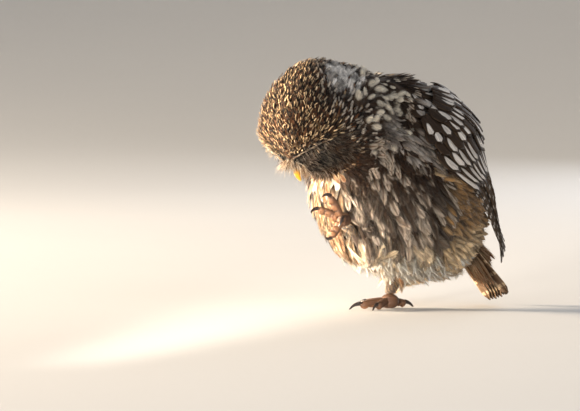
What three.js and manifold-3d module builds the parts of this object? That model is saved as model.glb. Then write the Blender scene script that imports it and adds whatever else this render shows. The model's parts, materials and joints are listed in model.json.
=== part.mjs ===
// A little owl, life size, standing on its right foot with the head bowed over the raised left foot.
// Millimetres, +Z up. The owl faces -Y and its left side is +X.
// The origin is on the floor under the middle of the standing foot.

import * as THREE from "three";
import { mergeVertices } from "three/addons/utils/BufferGeometryUtils.js";
import Module from "manifold-3d";

const wasm = await Module();
wasm.setup();

// Gap that touching pieces keep
const GAP = 0.3;
const FLOOR = 0;

// Sides and lengths, or turns and levels, of each kind of surface
const MESH = {
  torso: [30, 22],
  neck: [16, 10],
  head: [32, 24],
  lid: [14, 8],
  eye: [14, 8],
  bill: [10, 8],
  nostril: [6, 4],
  wingPad: [5, 6],
  tailPad: [10, 3],
  thigh: [14, 9],
  shank: [12, 4],
  sole: [12, 8],
  toe: [8, 8],
  claw: [6, 5],
};

// Plumage outline of the body, from the underside of the belly up to the shoulders:
// height, front, rear and half width of each level section
const TORSO_SECTIONS = [
  [20.5, 34, 34, 0],
  [22.5, 10, 50, 17],
  [26, -10, 55, 28],
  [33, -28, 61, 38],
  [44, -41, 70, 45],
  [60, -52, 75.5, 49],
  [78, -59.5, 76, 50.5],
  [96, -61.5, 73, 50],
  [112, -52, 69.5, 48.5],
  [127, -38, 63.5, 44.5],
  [140, -30, 51, 38.5],
  [151.5, -26, 38, 31],
  [160, -23, 22, 21],
  [164.5, -18, 5, 10],
  [166, -6, -6, 0],
];
// Where a section is widest, as a share of the way from its front to its rear
const WIDEST_AT = 0.47;

// Neck: an oval collar of plumage between the head and the shoulders
const NECK_CENTRE = [2, -37, 131];
const NECK_HALF = [37, 35, 41];

// Head: its centre, how far it is bowed and turned to its left, and its half sizes
const HEAD_CENTRE = [5, -68.2, 131];
const HEAD_BOW = 58;
const HEAD_TURN = 18;
const HEAD_SIDE = 34;
const HEAD_FRONT = 32;
const HEAD_BACK = 47;
const HEAD_TOP = 35;
const HEAD_CHIN = 33;

// Facial disc: two shallow dishes round the eyes, with a raised rim and heavy brows
const DISC_OUT = 15.5;
const DISC_UP = 1;
const DISC_HALF = [16.5, 19];
const DISC_DEPTH = 5.5;
const RIM_AT = 1.08;
const RIM_WIDTH = 0.2;
const RIM_HEIGHT = 2;
// The rim fades out this near the bill
const RIM_FADE = [4, 12];
const BROW_INNER = [3.5, 6];
const BROW_OUTER = [25, 14];
const BROW_WIDTH = 5;
const BROW_HEIGHT = 4;
// How squarely a place looks forward where the face begins, and where it is in full
const FACE_FROM = 0.2;
const FACE_FULL = 0.6;
// Above one, the rings of the head's surface lie closer on the face than behind
const FACE_CLOSER = 1.5;

// Eyes and their lids, half closed
const EYE_AT = [17, -16.5, 4];
const EYE_RADIUS = 7.5;
const LID_THICKNESS = 1.2;
const LID_OPENING = [13, 4.2];
const LID_DROP = 1.2;
const LID_CURVE_STEPS = 4;

// Bill, along its middle from the feathers to the tip
const BILL_PATH = [[0, -23, 1.2], [0, -29.5, -0.9], [0, -34, -4.2], [0, -37.2, -8.6], [0, -38.6, -13.4]];
const BILL_WIDTH = 3.9;
const BILL_DEPTH = 3.1;
const LOWER_BILL_PATH = [[0, -22, -5.6], [0, -27, -7.4], [0, -31.2, -9.6], [0, -34.4, -12.2]];
const LOWER_BILL_WIDTH = 3.1;
const LOWER_BILL_DEPTH = 1.4;
// The higher, the longer the bill stays thick before its tip, which keeps a share of the size
const BILL_FULLNESS = 1.8;
const BILL_TIP = 0.012;
const NOSTRIL_AT = [2.7, -31.6, -0.2];
const NOSTRIL_HALF = [0.85, 1.1, 0.85];

// Folded wing: its lower and upper edge on the body, from the bend of the wing to the tip.
// share of the length, turn and height of the lower edge, turn and height of the upper edge
const WING_EDGES = [
  [0, 76, 135, 116, 158],
  [0.2, 85, 117, 153, 151],
  [0.4, 101, 100, 168, 129],
  [0.6, 124, 83, 171, 98],
  [0.8, 141, 61, 171.5, 66],
  [1, 148, 31, 168, 43],
];
// The flight feathers leave the body behind: height, and how far the wing stands off the rump there
const WING_STAND_OFF = [[30, 36], [40, 26], [52, 12], [66, 4], [80, 0.5], [165, 0]];
// Share of the wing's length and width over which its slope is measured
const SLOPE_REACH = 0.02;
// Flesh of the wing: how thick it is, how deep it sinks in, where it ends and where it starts to thin
const WING_PAD = 3.5;
const WING_PAD_SUNK = 1;
const WING_PAD_END = 0.72;
const WING_PAD_THINS = 0.55;
const WING_PAD_THINNED = 0.8;

// Feathers: thickness, and how much one edge lies higher than the other for each millimetre of width
const VANE_THICKNESS = 0.6;
const SHINGLE_TILT = 0.18;
// Outlines from the root to the tip: share of the length and share of the width there
const FLIGHT_OUTLINE = [[0, 0.7], [0.45, 1], [0.84, 0.9], [1, 0.25]];
const COVERT_OUTLINE = [[0, 0.85], [0.62, 1], [1, 0.3]];
const LENGTH_VARIES = 0.012;
const WIDTH_VARIES = 0.08;

// Tiers of the wing. Across and along are shares of its width and length, from and to, shorter is what
// each feather loses to the one before, lift and rise are the height of the root and the gain to the tip,
// and step is what each feather rises over the one before
const WING_TIERS = [
  {
    name: "primaries", outline: FLIGHT_OUTLINE, count: 6, across: [0.04, 0.6], along: [0.54, 1],
    shorter: 0.03, width: 10, lift: 0.4, rise: 0.6, step: 0.5,
  },
  {
    name: "secondaries", outline: FLIGHT_OUTLINE, count: 6, across: [0.36, 0.96], along: [0.5, 0.84],
    shorter: 0.034, width: 13, lift: 1.8, rise: 1.8, step: 0.3,
  },
  {
    name: "greater coverts", outline: COVERT_OUTLINE, count: 7, across: [0.05, 0.94], along: [0.4, 0.59],
    shorter: 0.006, width: 12.5, lift: 2, rise: 2.6, step: 0,
  },
  {
    name: "median coverts", outline: COVERT_OUTLINE, count: 7, across: [0.05, 0.92], along: [0.28, 0.44],
    shorter: 0.005, width: 12.5, lift: 2, rise: 2.8, step: 0,
  },
  {
    name: "lesser coverts", outline: COVERT_OUTLINE, count: 6, across: [0.05, 0.9], along: [0.16, 0.32],
    shorter: 0.003, width: 14, lift: 2, rise: 3, step: 0,
  },
  {
    name: "shoulder coverts", outline: COVERT_OUTLINE, count: 5, across: [0.1, 0.8], along: [0.05, 0.2],
    shorter: 0, width: 13, lift: 2, rise: 3, step: 0,
  },
  {
    name: "scapulars", outline: COVERT_OUTLINE, count: 4, across: [0.7, 1], along: [0.14, 0.4],
    shorter: 0.01, width: 14, lift: 2.8, rise: 3.4, step: 0,
  },
];

// Tail: twelve feathers in a half open fan, swung to the owl's left, with coverts above and below their roots
const TAIL_ROOT = [0, 46, 68];
const TAIL_TIP = [23, 84, 8.5];
const TAIL_FEATHERS = 12;
const TAIL_FEATHERS_FROM = 0.4;
const TAIL_ROOT_HALF = 6;
const TAIL_TIP_HALF = 15;
const TAIL_FEATHER_WIDTH = 11;
const TAIL_ROUNDING = 2;
// Each feather lies this far over the next one, from the middle outwards
const TAIL_STEP = 0.9;
const TAIL_PAD_HALF = [15, 6];
const TAIL_PAD_END = 0.74;
const TAIL_PAD_SUNK = 2.5;
const TAIL_PAD_THINNED = 0.7;
const TAIL_COVERT_SPREAD = 0.85;
const TAIL_COVERTS = {
  above: { count: 4, along: [0.5, 0.76], rounding: 0.06, lift: 0.6, step: -1, rise: 1.4 },
  below: { count: 4, along: [0.5, 0.84], rounding: 0.06, lift: -6.2, step: 0.8, rise: -1.2 },
};

// Legs and feet
const ANKLE_RADIUS = 4.4;
const SHIN_RADIUS = 6.4;
const SOLE_HALF = [6.4, 6.8, 5.4];
const SOLE_AT = [0.6, 1, 0];
// The sole of the standing foot is pressed this far into the floor, and flattened there
const SOLE_PRESSED = 0.6;
const RIGHT_SHIN = [[0, 0.5, 7.5], [-6, 12, 27]];
const RIGHT_THIGH = { at: [-7, 14, 31], half: [16, 18, 14] };
const LEFT_FOOT_AT = [26, -55, 65];
const LEFT_SHIN = [[26, -54.5, 64], [26, -41, 46]];
const LEFT_THIGH = { at: [25, -32, 46], half: [13, 14, 15] };

// Toes: three pads along the sole, and a tip that rounds off over its last part
const TOE_RADIUS = 3.1;
const TOE_PADS = 3;
const TOE_PAD_BULGE = [0.06, 0.24];
const TOE_SOLE_DEPTH = 0.92;
const TOE_BACK_DEPTH = 0.86;
const TOE_TIP = { from: 0.8, least: 0.12 };
const TOE_ROOT = { standing: 3, raised: 2.5, height: 5.2 };
const TOE_ARCH = { standing: 0.6, raised: 1.6 };
// Each toe of the standing foot: turn from straight ahead to the left, reach and claw length
const RIGHT_TOES = {
  middle: { turn: -4, reach: 22.5, claw: 11.5 },
  inner: { turn: 33, reach: 19, claw: 11 },
  outer: { turn: -68, reach: 19.5, claw: 9.5 },
  hind: { turn: 176, reach: 14, claw: 9.5 },
};
// Each toe of the raised foot: its tip, from the middle of the foot, and the way that its pads face
const LEFT_TOES = {
  middle: { tip: [-9, -14.4, 7], pads: [0.55, -0.4, -0.7], claw: 8.5 },
  inner: { tip: [1.5, -11.8, 16.5], pads: [0.1, -0.9, -0.3], claw: 8 },
  outer: { tip: [0, -9.5, -12], pads: [0.4, -0.75, 0.3], claw: 8.5 },
  hind: { tip: [10.5, -7, 0.5], pads: [0.2, -0.5, -0.8], claw: 8 },
};

// Claws: thickness, how deep their roots sit in the toes, and in radians how steeply they rise from
// the toe and how far they curve from there
const CLAW_RADIUS = 1.75;
const CLAW_SLIM = 0.85;
const CLAW_ROOT_BACK = 1.8;
const CLAW_ROOT_UP = 0.9;
const CLAW_RISE = { standing: 0.35, raised: 0 };
const CLAW_BEND = { standing: 1.25, raised: 1.75 };
const CLAW_TIP = 0.08;
const CLAW_TAPER = 0.8;
const CLAW_CLEARANCE = 0.25;

const COLOURS = {
  crown: 0x8a6848,
  nape: 0x8b8076,
  breast: 0xd8cbb8,
  wing: 0x6e5844,
  tail: 0x86694c,
  down: 0xe6dccb,
  toe: 0xa5714a,
  claw: 0x2e2622,
  bill: 0xb9a44a,
  eye: 0xe0b33a,
};

// Helpers for shapes

const vector = (values) => new THREE.Vector3(values[0], values[1], values[2]);
const radians = THREE.MathUtils.degToRad;
const mix = THREE.MathUtils.lerp;
const clamp01 = (value) => Math.min(Math.max(value, 0), 1);
const ease = (from, to, value) => THREE.MathUtils.smoothstep(value, from, to);

// Smooth curve through rows of numbers, read at any value of the first column
function smoothRows(rows) {
  const keys = rows.map((row) => row[0]);
  const values = rows.flatMap((row) => row.slice(1));
  const curve = new THREE.CubicInterpolant(keys, values, rows[0].length - 1);
  return (at) => Array.from(curve.evaluate(THREE.MathUtils.clamp(at, keys[0], keys[keys.length - 1])));
}

function volumeInside(points, faces) {
  const corner = (i) => new THREE.Vector3().fromArray(points, faces[i] * 3);
  let sum = 0;
  for (let i = 0; i < faces.length; i += 3) {
    sum += corner(i).dot(corner(i + 1).cross(corner(i + 2)));
  }
  return sum;
}

// A closed mesh as a solid with its faces pointing out
function solid(geometry) {
  geometry.deleteAttribute("normal");
  geometry.deleteAttribute("uv");
  const merged = mergeVertices(geometry, 1e-4);
  const points = merged.getAttribute("position").array;
  const faces = merged.index.array;
  const kept = [];
  for (let i = 0; i < faces.length; i += 3) {
    const [a, b, c] = [faces[i], faces[i + 1], faces[i + 2]];
    if (a !== b && b !== c && a !== c) kept.push(a, b, c);
  }
  if (volumeInside(points, kept) < 0) kept.reverse();
  const mesh = new wasm.Mesh({ numProp: 3, vertProperties: points, triVerts: new Uint32Array(kept) });
  return new wasm.Manifold(mesh);
}

function geometryOf(body) {
  const mesh = body.getMesh();
  const geometry = new THREE.BufferGeometry();
  geometry.setAttribute("position", new THREE.BufferAttribute(new Float32Array(mesh.vertProperties), 3));
  geometry.setIndex(new THREE.BufferAttribute(new Uint32Array(mesh.triVerts), 1));
  return geometry;
}

// The largest closed surface of a solid, with sealed hollows filled
function largest(body) {
  const pieces = body.decompose().map((piece) => [piece.volume(), piece]);
  pieces.sort((a, b) => b[0] - a[0]);
  return pieces[0][1];
}

const joined = (bodies) => wasm.Manifold.union(bodies);
const cutBy = (body, cutters) => largest(body.subtract(joined(cutters)));
const moved = (body, matrix) => body.transform(matrix.elements);

// A sphere's mesh with each vertex set by its angle round the axis and its share of the way between poles
function blob([around, levels], place) {
  const geometry = new THREE.SphereGeometry(1, around, levels);
  const position = geometry.getAttribute("position");
  const uv = geometry.getAttribute("uv");
  for (let i = 0; i < position.count; i += 1) {
    const level = Math.round((1 - uv.getY(i)) * levels) / levels;
    const pole = level === 0 || level === 1;
    const share = pole ? 0 : Math.round(uv.getX(i) * around) % around;
    const point = place((share / around) * 2 * Math.PI, level);
    position.setXYZ(i, point.x, point.y, point.z);
  }
  return solid(geometry);
}

function onBall(turn, level) {
  const ring = Math.sin(level * Math.PI);
  return new THREE.Vector3(Math.sin(turn) * ring, Math.cos(turn) * ring, Math.cos(level * Math.PI));
}

function oval(mesh, centre, half, grow = 0) {
  const size = vector(half).addScalar(grow);
  return blob(mesh, (turn, level) => onBall(turn, level).multiply(size).add(vector(centre)));
}

// A closed tube whose vertices are set by their angle, share of the length and share of the radius
function tube([sides, lengths], place) {
  const geometry = new THREE.CylinderGeometry(1, 1, 1, sides, lengths);
  const position = geometry.getAttribute("position");
  for (let i = 0; i < position.count; i += 1) {
    const [x, z] = [position.getX(i), position.getZ(i)];
    const out = Math.hypot(x, z) > 0.5 ? 1 : 0;
    const side = out * Math.round((Math.atan2(x, z) / (2 * Math.PI)) * sides);
    const point = place((side / sides) * 2 * Math.PI, clamp01(position.getY(i) + 0.5), out);
    position.setXYZ(i, point.x, point.y, point.z);
  }
  return solid(geometry);
}

// Corners of the triangles of a closed sheet, the same on both faces
function slabFaces(columns, rows) {
  const faces = [];
  const wide = columns + 1;
  const layer = wide * (rows + 1);
  const quad = (a, b, c, d) => faces.push(a, b, c, a, c, d);
  for (let j = 0; j < rows; j += 1) {
    const low = j * wide;
    const high = low + columns;
    for (let a = low; a < high; a += 1) {
      quad(a + layer, a + 1 + layer, a + 1 + wide + layer, a + wide + layer);
      faces.push(a, a + 1 + wide, a + 1, a, a + wide, a + 1 + wide);
    }
    quad(low, low + layer, low + wide + layer, low + wide);
    quad(high, high + wide, high + wide + layer, high + layer);
  }
  for (let i = 0; i < columns; i += 1) {
    const end = rows * wide + i;
    quad(i, i + 1, i + 1 + layer, i + layer);
    quad(end, end + layer, end + 1 + layer, end + 1);
  }
  return faces;
}

// A closed sheet: place gives a point for a share across, a share along and a face
function slab([columns, rows], place) {
  const points = [];
  for (const face of [0, 1]) {
    for (let j = 0; j <= rows; j += 1) {
      for (let i = 0; i <= columns; i += 1) {
        points.push(...place(i / columns, j / rows, face).toArray());
      }
    }
  }
  const geometry = new THREE.BufferGeometry();
  geometry.setAttribute("position", new THREE.BufferAttribute(new Float32Array(points), 3));
  geometry.setIndex(slabFaces(columns, rows));
  return solid(geometry);
}

// A feather: place gives a point for a share of the length, a distance to the side and a face
function vane(outline, width, place) {
  const rows = outline.length - 1;
  return slab([1, rows], (share, row, face) => {
    const [reach, wide] = outline[Math.round(row * rows)];
    return place(reach, (share - 0.5) * width * wide, face);
  });
}

// A seeded draw, so that the feathers vary alike every time
function draws(seed) {
  let state = seed;
  return (range) => {
    state = (state * 1664525 + 1013904223) % 4294967296;
    return (state / 4294967296 - 0.5) * range;
  };
}

// Torso

const torsoRows = smoothRows(TORSO_SECTIONS.map((row, index) => [index, ...row]));
const LAST_SECTION = TORSO_SECTIONS.length - 1;
const HALVINGS = 24;

// The section at a height, found by halving
function sectionAt(height) {
  let [low, high] = [0, LAST_SECTION];
  for (let step = 0; step < HALVINGS; step += 1) {
    const middle = (low + high) / 2;
    if (torsoRows(middle)[0] < height) low = middle;
    else high = middle;
  }
  return low;
}

// Point of the body's surface: turn is 0 in front, a quarter at the left side and a half behind
function torsoPoint(turn, section, grow = 0, extraRear = 0) {
  const [height, front, rear, half] = torsoRows(section);
  const widest = mix(front, rear, WIDEST_AT);
  const depth = Math.cos(turn) > 0 ? widest - front : rear + extraRear - widest;
  const stretch = Math.min(1, section, LAST_SECTION - section);
  const lift = (section < LAST_SECTION / 2 ? -grow : grow) * (1 - stretch);
  return new THREE.Vector3(
    Math.sin(turn) * (half + grow * stretch),
    widest - Math.cos(turn) * (depth + grow * stretch),
    height + lift,
  );
}

function torsoShape(grow = 0) {
  return blob(MESH.torso, (turn, level) => torsoPoint(turn, level * LAST_SECTION, grow));
}

// Head, in its own frame: x to its left, y to the back, z to the crown

function headRadius(direction, grow) {
  const side = HEAD_SIDE + grow;
  const depth = (direction.y < 0 ? HEAD_FRONT : HEAD_BACK) + grow;
  const height = (direction.z > 0 ? HEAD_TOP : HEAD_CHIN) + grow;
  return 1 / Math.hypot(direction.x / side, direction.y / depth, direction.z / height);
}

function distanceToBrow(x, z) {
  const start = new THREE.Vector2(...BROW_INNER);
  const along = new THREE.Vector2(...BROW_OUTER).sub(start);
  const point = new THREE.Vector2(x, z).sub(start);
  const share = clamp01(point.dot(along) / along.lengthSq());
  return point.sub(along.multiplyScalar(share)).length();
}

const bell = (value) => Math.exp(-value * value);

// How far the face stands forward of the plain oval at this place
function faceRelief(x, z) {
  const ring = Math.hypot((Math.abs(x) - DISC_OUT) / DISC_HALF[0], (z - DISC_UP) / DISC_HALF[1]);
  const dish = -DISC_DEPTH * Math.max(0, 1 - ring * ring);
  const rim = RIM_HEIGHT * bell((ring - RIM_AT) / RIM_WIDTH) * ease(...RIM_FADE, Math.hypot(x, z));
  const brow = BROW_HEIGHT * bell(distanceToBrow(Math.abs(x), z) / BROW_WIDTH);
  return dish + rim + brow;
}

function headShape(grow = 0) {
  return blob(MESH.head, (turn, level) => {
    const ball = onBall(turn, level ** FACE_CLOSER);
    const direction = new THREE.Vector3(ball.x, -ball.z, ball.y);
    const point = direction.clone().multiplyScalar(headRadius(direction, grow));
    point.y -= faceRelief(point.x, point.z) * ease(FACE_FROM, FACE_FULL, -direction.y);
    return point;
  });
}

function eyeball(side, mesh, grow = 0) {
  const [x, y, z] = EYE_AT;
  return oval(mesh, [side * x, y, z], [EYE_RADIUS, EYE_RADIUS, EYE_RADIUS], grow);
}

// The lids: a shell round the eye, open in an almond
function lidShape(side) {
  const [x, y, z] = EYE_AT;
  const [width, height] = LID_OPENING;
  const almond = new THREE.Shape();
  almond.moveTo(-width / 2, 0);
  almond.quadraticCurveTo(0, height, width / 2, 0);
  almond.quadraticCurveTo(0, -height, -width / 2, 0);
  const options = { depth: HEAD_FRONT, bevelEnabled: false, curveSegments: LID_CURVE_STEPS };
  const opening = new THREE.ExtrudeGeometry(almond, options);
  opening.rotateX(Math.PI / 2);
  opening.translate(side * x, y, z - LID_DROP);
  return eyeball(side, MESH.lid, LID_THICKNESS).subtract(solid(opening));
}

function billShape(path, halfWidth, halfDepth, grow) {
  const curve = new THREE.CatmullRomCurve3(path.map(vector));
  const right = new THREE.Vector3(1, 0, 0);
  return tube(MESH.bill, (turn, share, out) => {
    const centre = curve.getPoint(share);
    const along = curve.getTangent(share);
    const up = along.clone().cross(right);
    const taper = Math.sqrt(Math.max(BILL_TIP, 1 - share ** BILL_FULLNESS));
    centre.addScaledVector(along, share === 1 ? grow : 0);
    centre.addScaledVector(right, Math.sin(turn) * (halfWidth * taper + grow) * out);
    return centre.addScaledVector(up, Math.cos(turn) * (halfDepth * taper + grow) * out);
  });
}

const upperBill = (grow = 0) => billShape(BILL_PATH, BILL_WIDTH, BILL_DEPTH, grow);
const lowerBill = (grow = 0) => billShape(LOWER_BILL_PATH, LOWER_BILL_WIDTH, LOWER_BILL_DEPTH, grow);

function nostril(side) {
  const [x, y, z] = NOSTRIL_AT;
  return oval(MESH.nostril, [side * x, y, z], NOSTRIL_HALF);
}

// Wings

const wingEdges = smoothRows(WING_EDGES);
const standOff = smoothRows(WING_STAND_OFF);

// Point under the feathers of the left wing, at a share of its length and of its width
function wingBed(along, across) {
  const [lowerTurn, lowerHeight, upperTurn, upperHeight] = wingEdges(along);
  const level = mix(lowerHeight, upperHeight, across);
  const turn = radians(mix(lowerTurn, upperTurn, across));
  return torsoPoint(turn, sectionAt(level), 0, standOff(level)[0]);
}

function wingPoint(along, across, height) {
  const before = wingBed(Math.max(0, along - SLOPE_REACH), across);
  const after = wingBed(Math.min(1, along + SLOPE_REACH), across);
  const beside = wingBed(along, across + SLOPE_REACH).sub(wingBed(along, across - SLOPE_REACH));
  const out = after.sub(before).cross(beside).normalize();
  return wingBed(along, across).addScaledVector(out, height);
}

function wingWidth(along) {
  const middle = wingBed(along, 0.5);
  return middle.distanceTo(wingBed(along, 0)) + middle.distanceTo(wingBed(along, 1));
}

// One feather of the wing: its place across, where it starts and ends, and how high it lies
function wingVane({ outline, across, from, to, width, lift, rise }) {
  return vane(outline, width, (reach, side, face) => {
    const along = mix(from, to, reach);
    const height = lift + rise * reach - side * SHINGLE_TILT + face * VANE_THICKNESS;
    return wingPoint(along, across + side / wingWidth(along), height);
  });
}

// The flesh of the wing, which holds the roots of its feathers
function wingPad() {
  return slab(MESH.wingPad, (share, row, face) => {
    const edge = share === 0 || share === 1 ? 0.5 : 1;
    const end = 1 - ease(WING_PAD_THINS, 1, row) * WING_PAD_THINNED;
    return wingPoint(row * WING_PAD_END, share, face ? WING_PAD * edge * end : -WING_PAD_SUNK);
  });
}

function wingTier(tier, varied) {
  return Array.from({ length: tier.count }, (unused, i) => {
    return wingVane({
      outline: tier.outline,
      across: mix(...tier.across, i / (tier.count - 1)),
      from: tier.along[0],
      to: tier.along[1] - tier.shorter * i + varied(LENGTH_VARIES),
      width: tier.width * (1 + varied(WIDTH_VARIES)),
      lift: tier.lift,
      rise: tier.rise + tier.step * i,
    });
  });
}

function wingShape(varied) {
  return joined([wingPad(), ...WING_TIERS.flatMap((tier) => wingTier(tier, varied))]);
}

// Tail

const tailRoot = vector(TAIL_ROOT);
const tailLength = tailRoot.distanceTo(vector(TAIL_TIP));
const tailAlong = vector(TAIL_TIP).sub(tailRoot).normalize();
const tailAcross = new THREE.Vector3(1, 0, 0).addScaledVector(tailAlong, -tailAlong.x).normalize();
const tailUp = tailAcross.clone().cross(tailAlong);

function tailPoint(along, side, height) {
  const point = tailRoot.clone().addScaledVector(tailAlong, along * tailLength);
  return point.addScaledVector(tailAcross, side).addScaledVector(tailUp, height);
}

// One feather of the tail: its place in the fan from -1 to 1, where it starts and ends, and its height
function tailVane({ outline, fan, spread, from, to, lift, rise }) {
  return vane(outline, TAIL_FEATHER_WIDTH, (reach, side, face) => {
    const along = mix(from, to, reach);
    const middle = mix(fan * TAIL_ROOT_HALF, fan * spread, along);
    return tailPoint(along, middle + side, lift + rise * reach + face * VANE_THICKNESS);
  });
}

// Places in the fan, from -1 at its right edge to 1 at its left
function fanPlaces(count) {
  return Array.from({ length: count }, (unused, i) => (2 * i) / (count - 1) - 1);
}

function tailFeathers(varied) {
  const steps = ((TAIL_FEATHERS - 1) / 2) * TAIL_STEP;
  return fanPlaces(TAIL_FEATHERS).map((fan) => tailVane({
    outline: FLIGHT_OUTLINE,
    fan,
    spread: TAIL_TIP_HALF,
    from: TAIL_FEATHERS_FROM,
    to: 1 - (TAIL_ROUNDING * fan * fan) / tailLength + varied(LENGTH_VARIES),
    lift: -Math.abs(fan) * steps,
    rise: 0,
  }));
}

function tailCoverts({ count, along, rounding, lift, step, rise }) {
  return fanPlaces(count).map((fan) => tailVane({
    outline: COVERT_OUTLINE,
    fan,
    spread: TAIL_TIP_HALF * TAIL_COVERT_SPREAD,
    from: along[0],
    to: along[1] - rounding * fan * fan,
    lift: lift + step * Math.abs(fan),
    rise,
  }));
}

// The flesh of the tail, which holds the roots of its feathers
function tailPad() {
  return tube(MESH.tailPad, (turn, share, out) => {
    const along = (1 - share) * TAIL_PAD_END;
    const slim = (1 - TAIL_PAD_THINNED * (1 - share) ** 3) * out;
    const side = Math.sin(turn) * TAIL_PAD_HALF[0] * slim;
    return tailPoint(along, side, Math.cos(turn) * TAIL_PAD_HALF[1] * slim - TAIL_PAD_SUNK);
  });
}

function tailShape(varied) {
  const coverts = Object.values(TAIL_COVERTS).flatMap(tailCoverts);
  return joined([tailPad(), ...tailFeathers(varied), ...coverts]);
}

// Legs and feet

function shankShape([low, high], grow = 0) {
  const foot = vector(low);
  const along = vector(high).sub(foot);
  const side = new THREE.Vector3(1, 0, 0).cross(along).normalize();
  const across = side.clone().cross(along).normalize();
  return tube(MESH.shank, (turn, share, out) => {
    const radius = (mix(ANKLE_RADIUS, SHIN_RADIUS, share) + grow) * out;
    const point = foot.clone().addScaledVector(along, share);
    point.addScaledVector(across, Math.sin(turn) * radius);
    return point.addScaledVector(side, Math.cos(turn) * radius);
  });
}

const thighShape = ({ at, half }) => oval(MESH.thigh, at, half);

// The side of a toe or claw that its pads are on, and the way across it
function soleAndSide(pads, along) {
  const sole = pads.clone().addScaledVector(along, -pads.dot(along)).normalize();
  return { sole, side: along.clone().cross(sole) };
}

const toeMiddle = ({ start, tip, pads, arch }) => start.clone().lerp(tip, 0.5).addScaledVector(pads, -arch);

function toeShape(toe, grow = 0) {
  const curve = new THREE.QuadraticBezierCurve3(toe.start, toeMiddle(toe), toe.tip);
  return tube(MESH.toe, (turn, share, out) => {
    const centre = curve.getPoint(share);
    const { sole, side } = soleAndSide(toe.pads, curve.getTangent(share));
    const pastTip = Math.max(0, (share - TOE_TIP.from) / (1 - TOE_TIP.from));
    const radius = TOE_RADIUS * Math.sqrt(Math.max(TOE_TIP.least, 1 - pastTip * pastTip));
    const pad = Math.abs(Math.sin(share * Math.PI * TOE_PADS));
    const depth = Math.cos(turn) > 0 ? TOE_SOLE_DEPTH + TOE_PAD_BULGE[1] * pad : TOE_BACK_DEPTH;
    centre.addScaledVector(side, Math.sin(turn) * (radius * (1 + TOE_PAD_BULGE[0] * pad) + grow) * out);
    centre.addScaledVector(sole, Math.cos(turn) * (radius * depth + grow) * out);
    centre.z = Math.max(centre.z, toe.floor);
    return centre;
  });
}

function clawShape(toe, grow = 0) {
  const along = toe.tip.clone().sub(toeMiddle(toe)).normalize();
  const { sole, side } = soleAndSide(toe.pads, along);
  const root = toe.tip.clone().addScaledVector(along, -CLAW_ROOT_BACK).addScaledVector(sole, -CLAW_ROOT_UP);
  const arc = (toe.claw + CLAW_ROOT_BACK) / toe.bend;
  return tube(MESH.claw, (turn, share, out) => {
    const heading = toe.rise - toe.bend * share;
    const centre = root.clone().addScaledVector(along, arc * (Math.sin(toe.rise) - Math.sin(heading)));
    centre.addScaledVector(sole, arc * (Math.cos(toe.rise) - Math.cos(heading)));
    const upright = sole.clone().multiplyScalar(Math.cos(heading)).addScaledVector(along, Math.sin(heading));
    const radius = (CLAW_RADIUS * Math.max(CLAW_TIP, 1 - share) ** CLAW_TAPER + grow) * out;
    centre.addScaledVector(side, Math.sin(turn) * radius * CLAW_SLIM);
    centre.addScaledVector(upright, Math.cos(turn) * radius);
    centre.z = Math.max(centre.z, toe.floor + CLAW_CLEARANCE - grow);
    return centre;
  });
}

const stance = (way) => ({ arch: TOE_ARCH[way], rise: CLAW_RISE[way], bend: CLAW_BEND[way] });

function standingToe({ turn, reach, claw }) {
  const ahead = new THREE.Vector3(Math.sin(radians(turn)), -Math.cos(radians(turn)), 0);
  const start = ahead.clone().multiplyScalar(TOE_ROOT.standing).setZ(TOE_ROOT.height);
  const tip = ahead.clone().multiplyScalar(reach).setZ(TOE_RADIUS * TOE_SOLE_DEPTH);
  const pads = new THREE.Vector3(0, 0, -1);
  return { start, tip, pads, claw, floor: FLOOR, ...stance("standing") };
}

function raisedToe({ tip, pads, claw }) {
  const start = vector(tip).setLength(TOE_ROOT.raised);
  const down = vector(pads).normalize();
  return { start, tip: vector(tip), pads: down, claw, floor: -Infinity, ...stance("raised") };
}

function footShape(standing, grow = 0) {
  return blob(MESH.sole, (turn, level) => {
    const point = onBall(turn, level).multiply(vector(SOLE_HALF).addScalar(grow)).add(vector(SOLE_AT));
    if (standing) point.z = Math.max(point.z + SOLE_HALF[2] - SOLE_PRESSED, FLOOR);
    return point;
  });
}

// Materials and the scene graph

function piece(name, body, colour, roughness) {
  const material = new THREE.MeshStandardMaterial({ color: colour, roughness, metalness: 0 });
  const mesh = new THREE.Mesh(geometryOf(body), material);
  mesh.name = name;
  return mesh;
}

function headMatrix() {
  const turned = new THREE.Matrix4().makeRotationZ(radians(HEAD_TURN));
  const bowed = new THREE.Matrix4().makeRotationX(radians(HEAD_BOW));
  return new THREE.Matrix4().setPosition(vector(HEAD_CENTRE)).multiply(turned).multiply(bowed);
}

function buildHead() {
  const group = new THREE.Group();
  group.applyMatrix4(headMatrix());
  const sockets = [1, -1].map((side) => eyeball(side, MESH.eye, GAP));
  const skull = joined([headShape(), lidShape(1), lidShape(-1)]);
  const head = cutBy(skull, [...sockets, upperBill(GAP), lowerBill(GAP)]);
  const bill = cutBy(upperBill(), [nostril(1), nostril(-1), lowerBill(GAP)]);
  group.add(piece("head", head, COLOURS.crown, 0.9));
  group.add(piece("bill_upper", bill, COLOURS.bill, 0.45));
  group.add(piece("bill_lower", lowerBill(), COLOURS.bill, 0.5));
  group.add(piece("eye_left", eyeball(1, MESH.eye), COLOURS.eye, 0.1));
  group.add(piece("eye_right", eyeball(-1, MESH.eye), COLOURS.eye, 0.1));
  return group;
}

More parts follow.
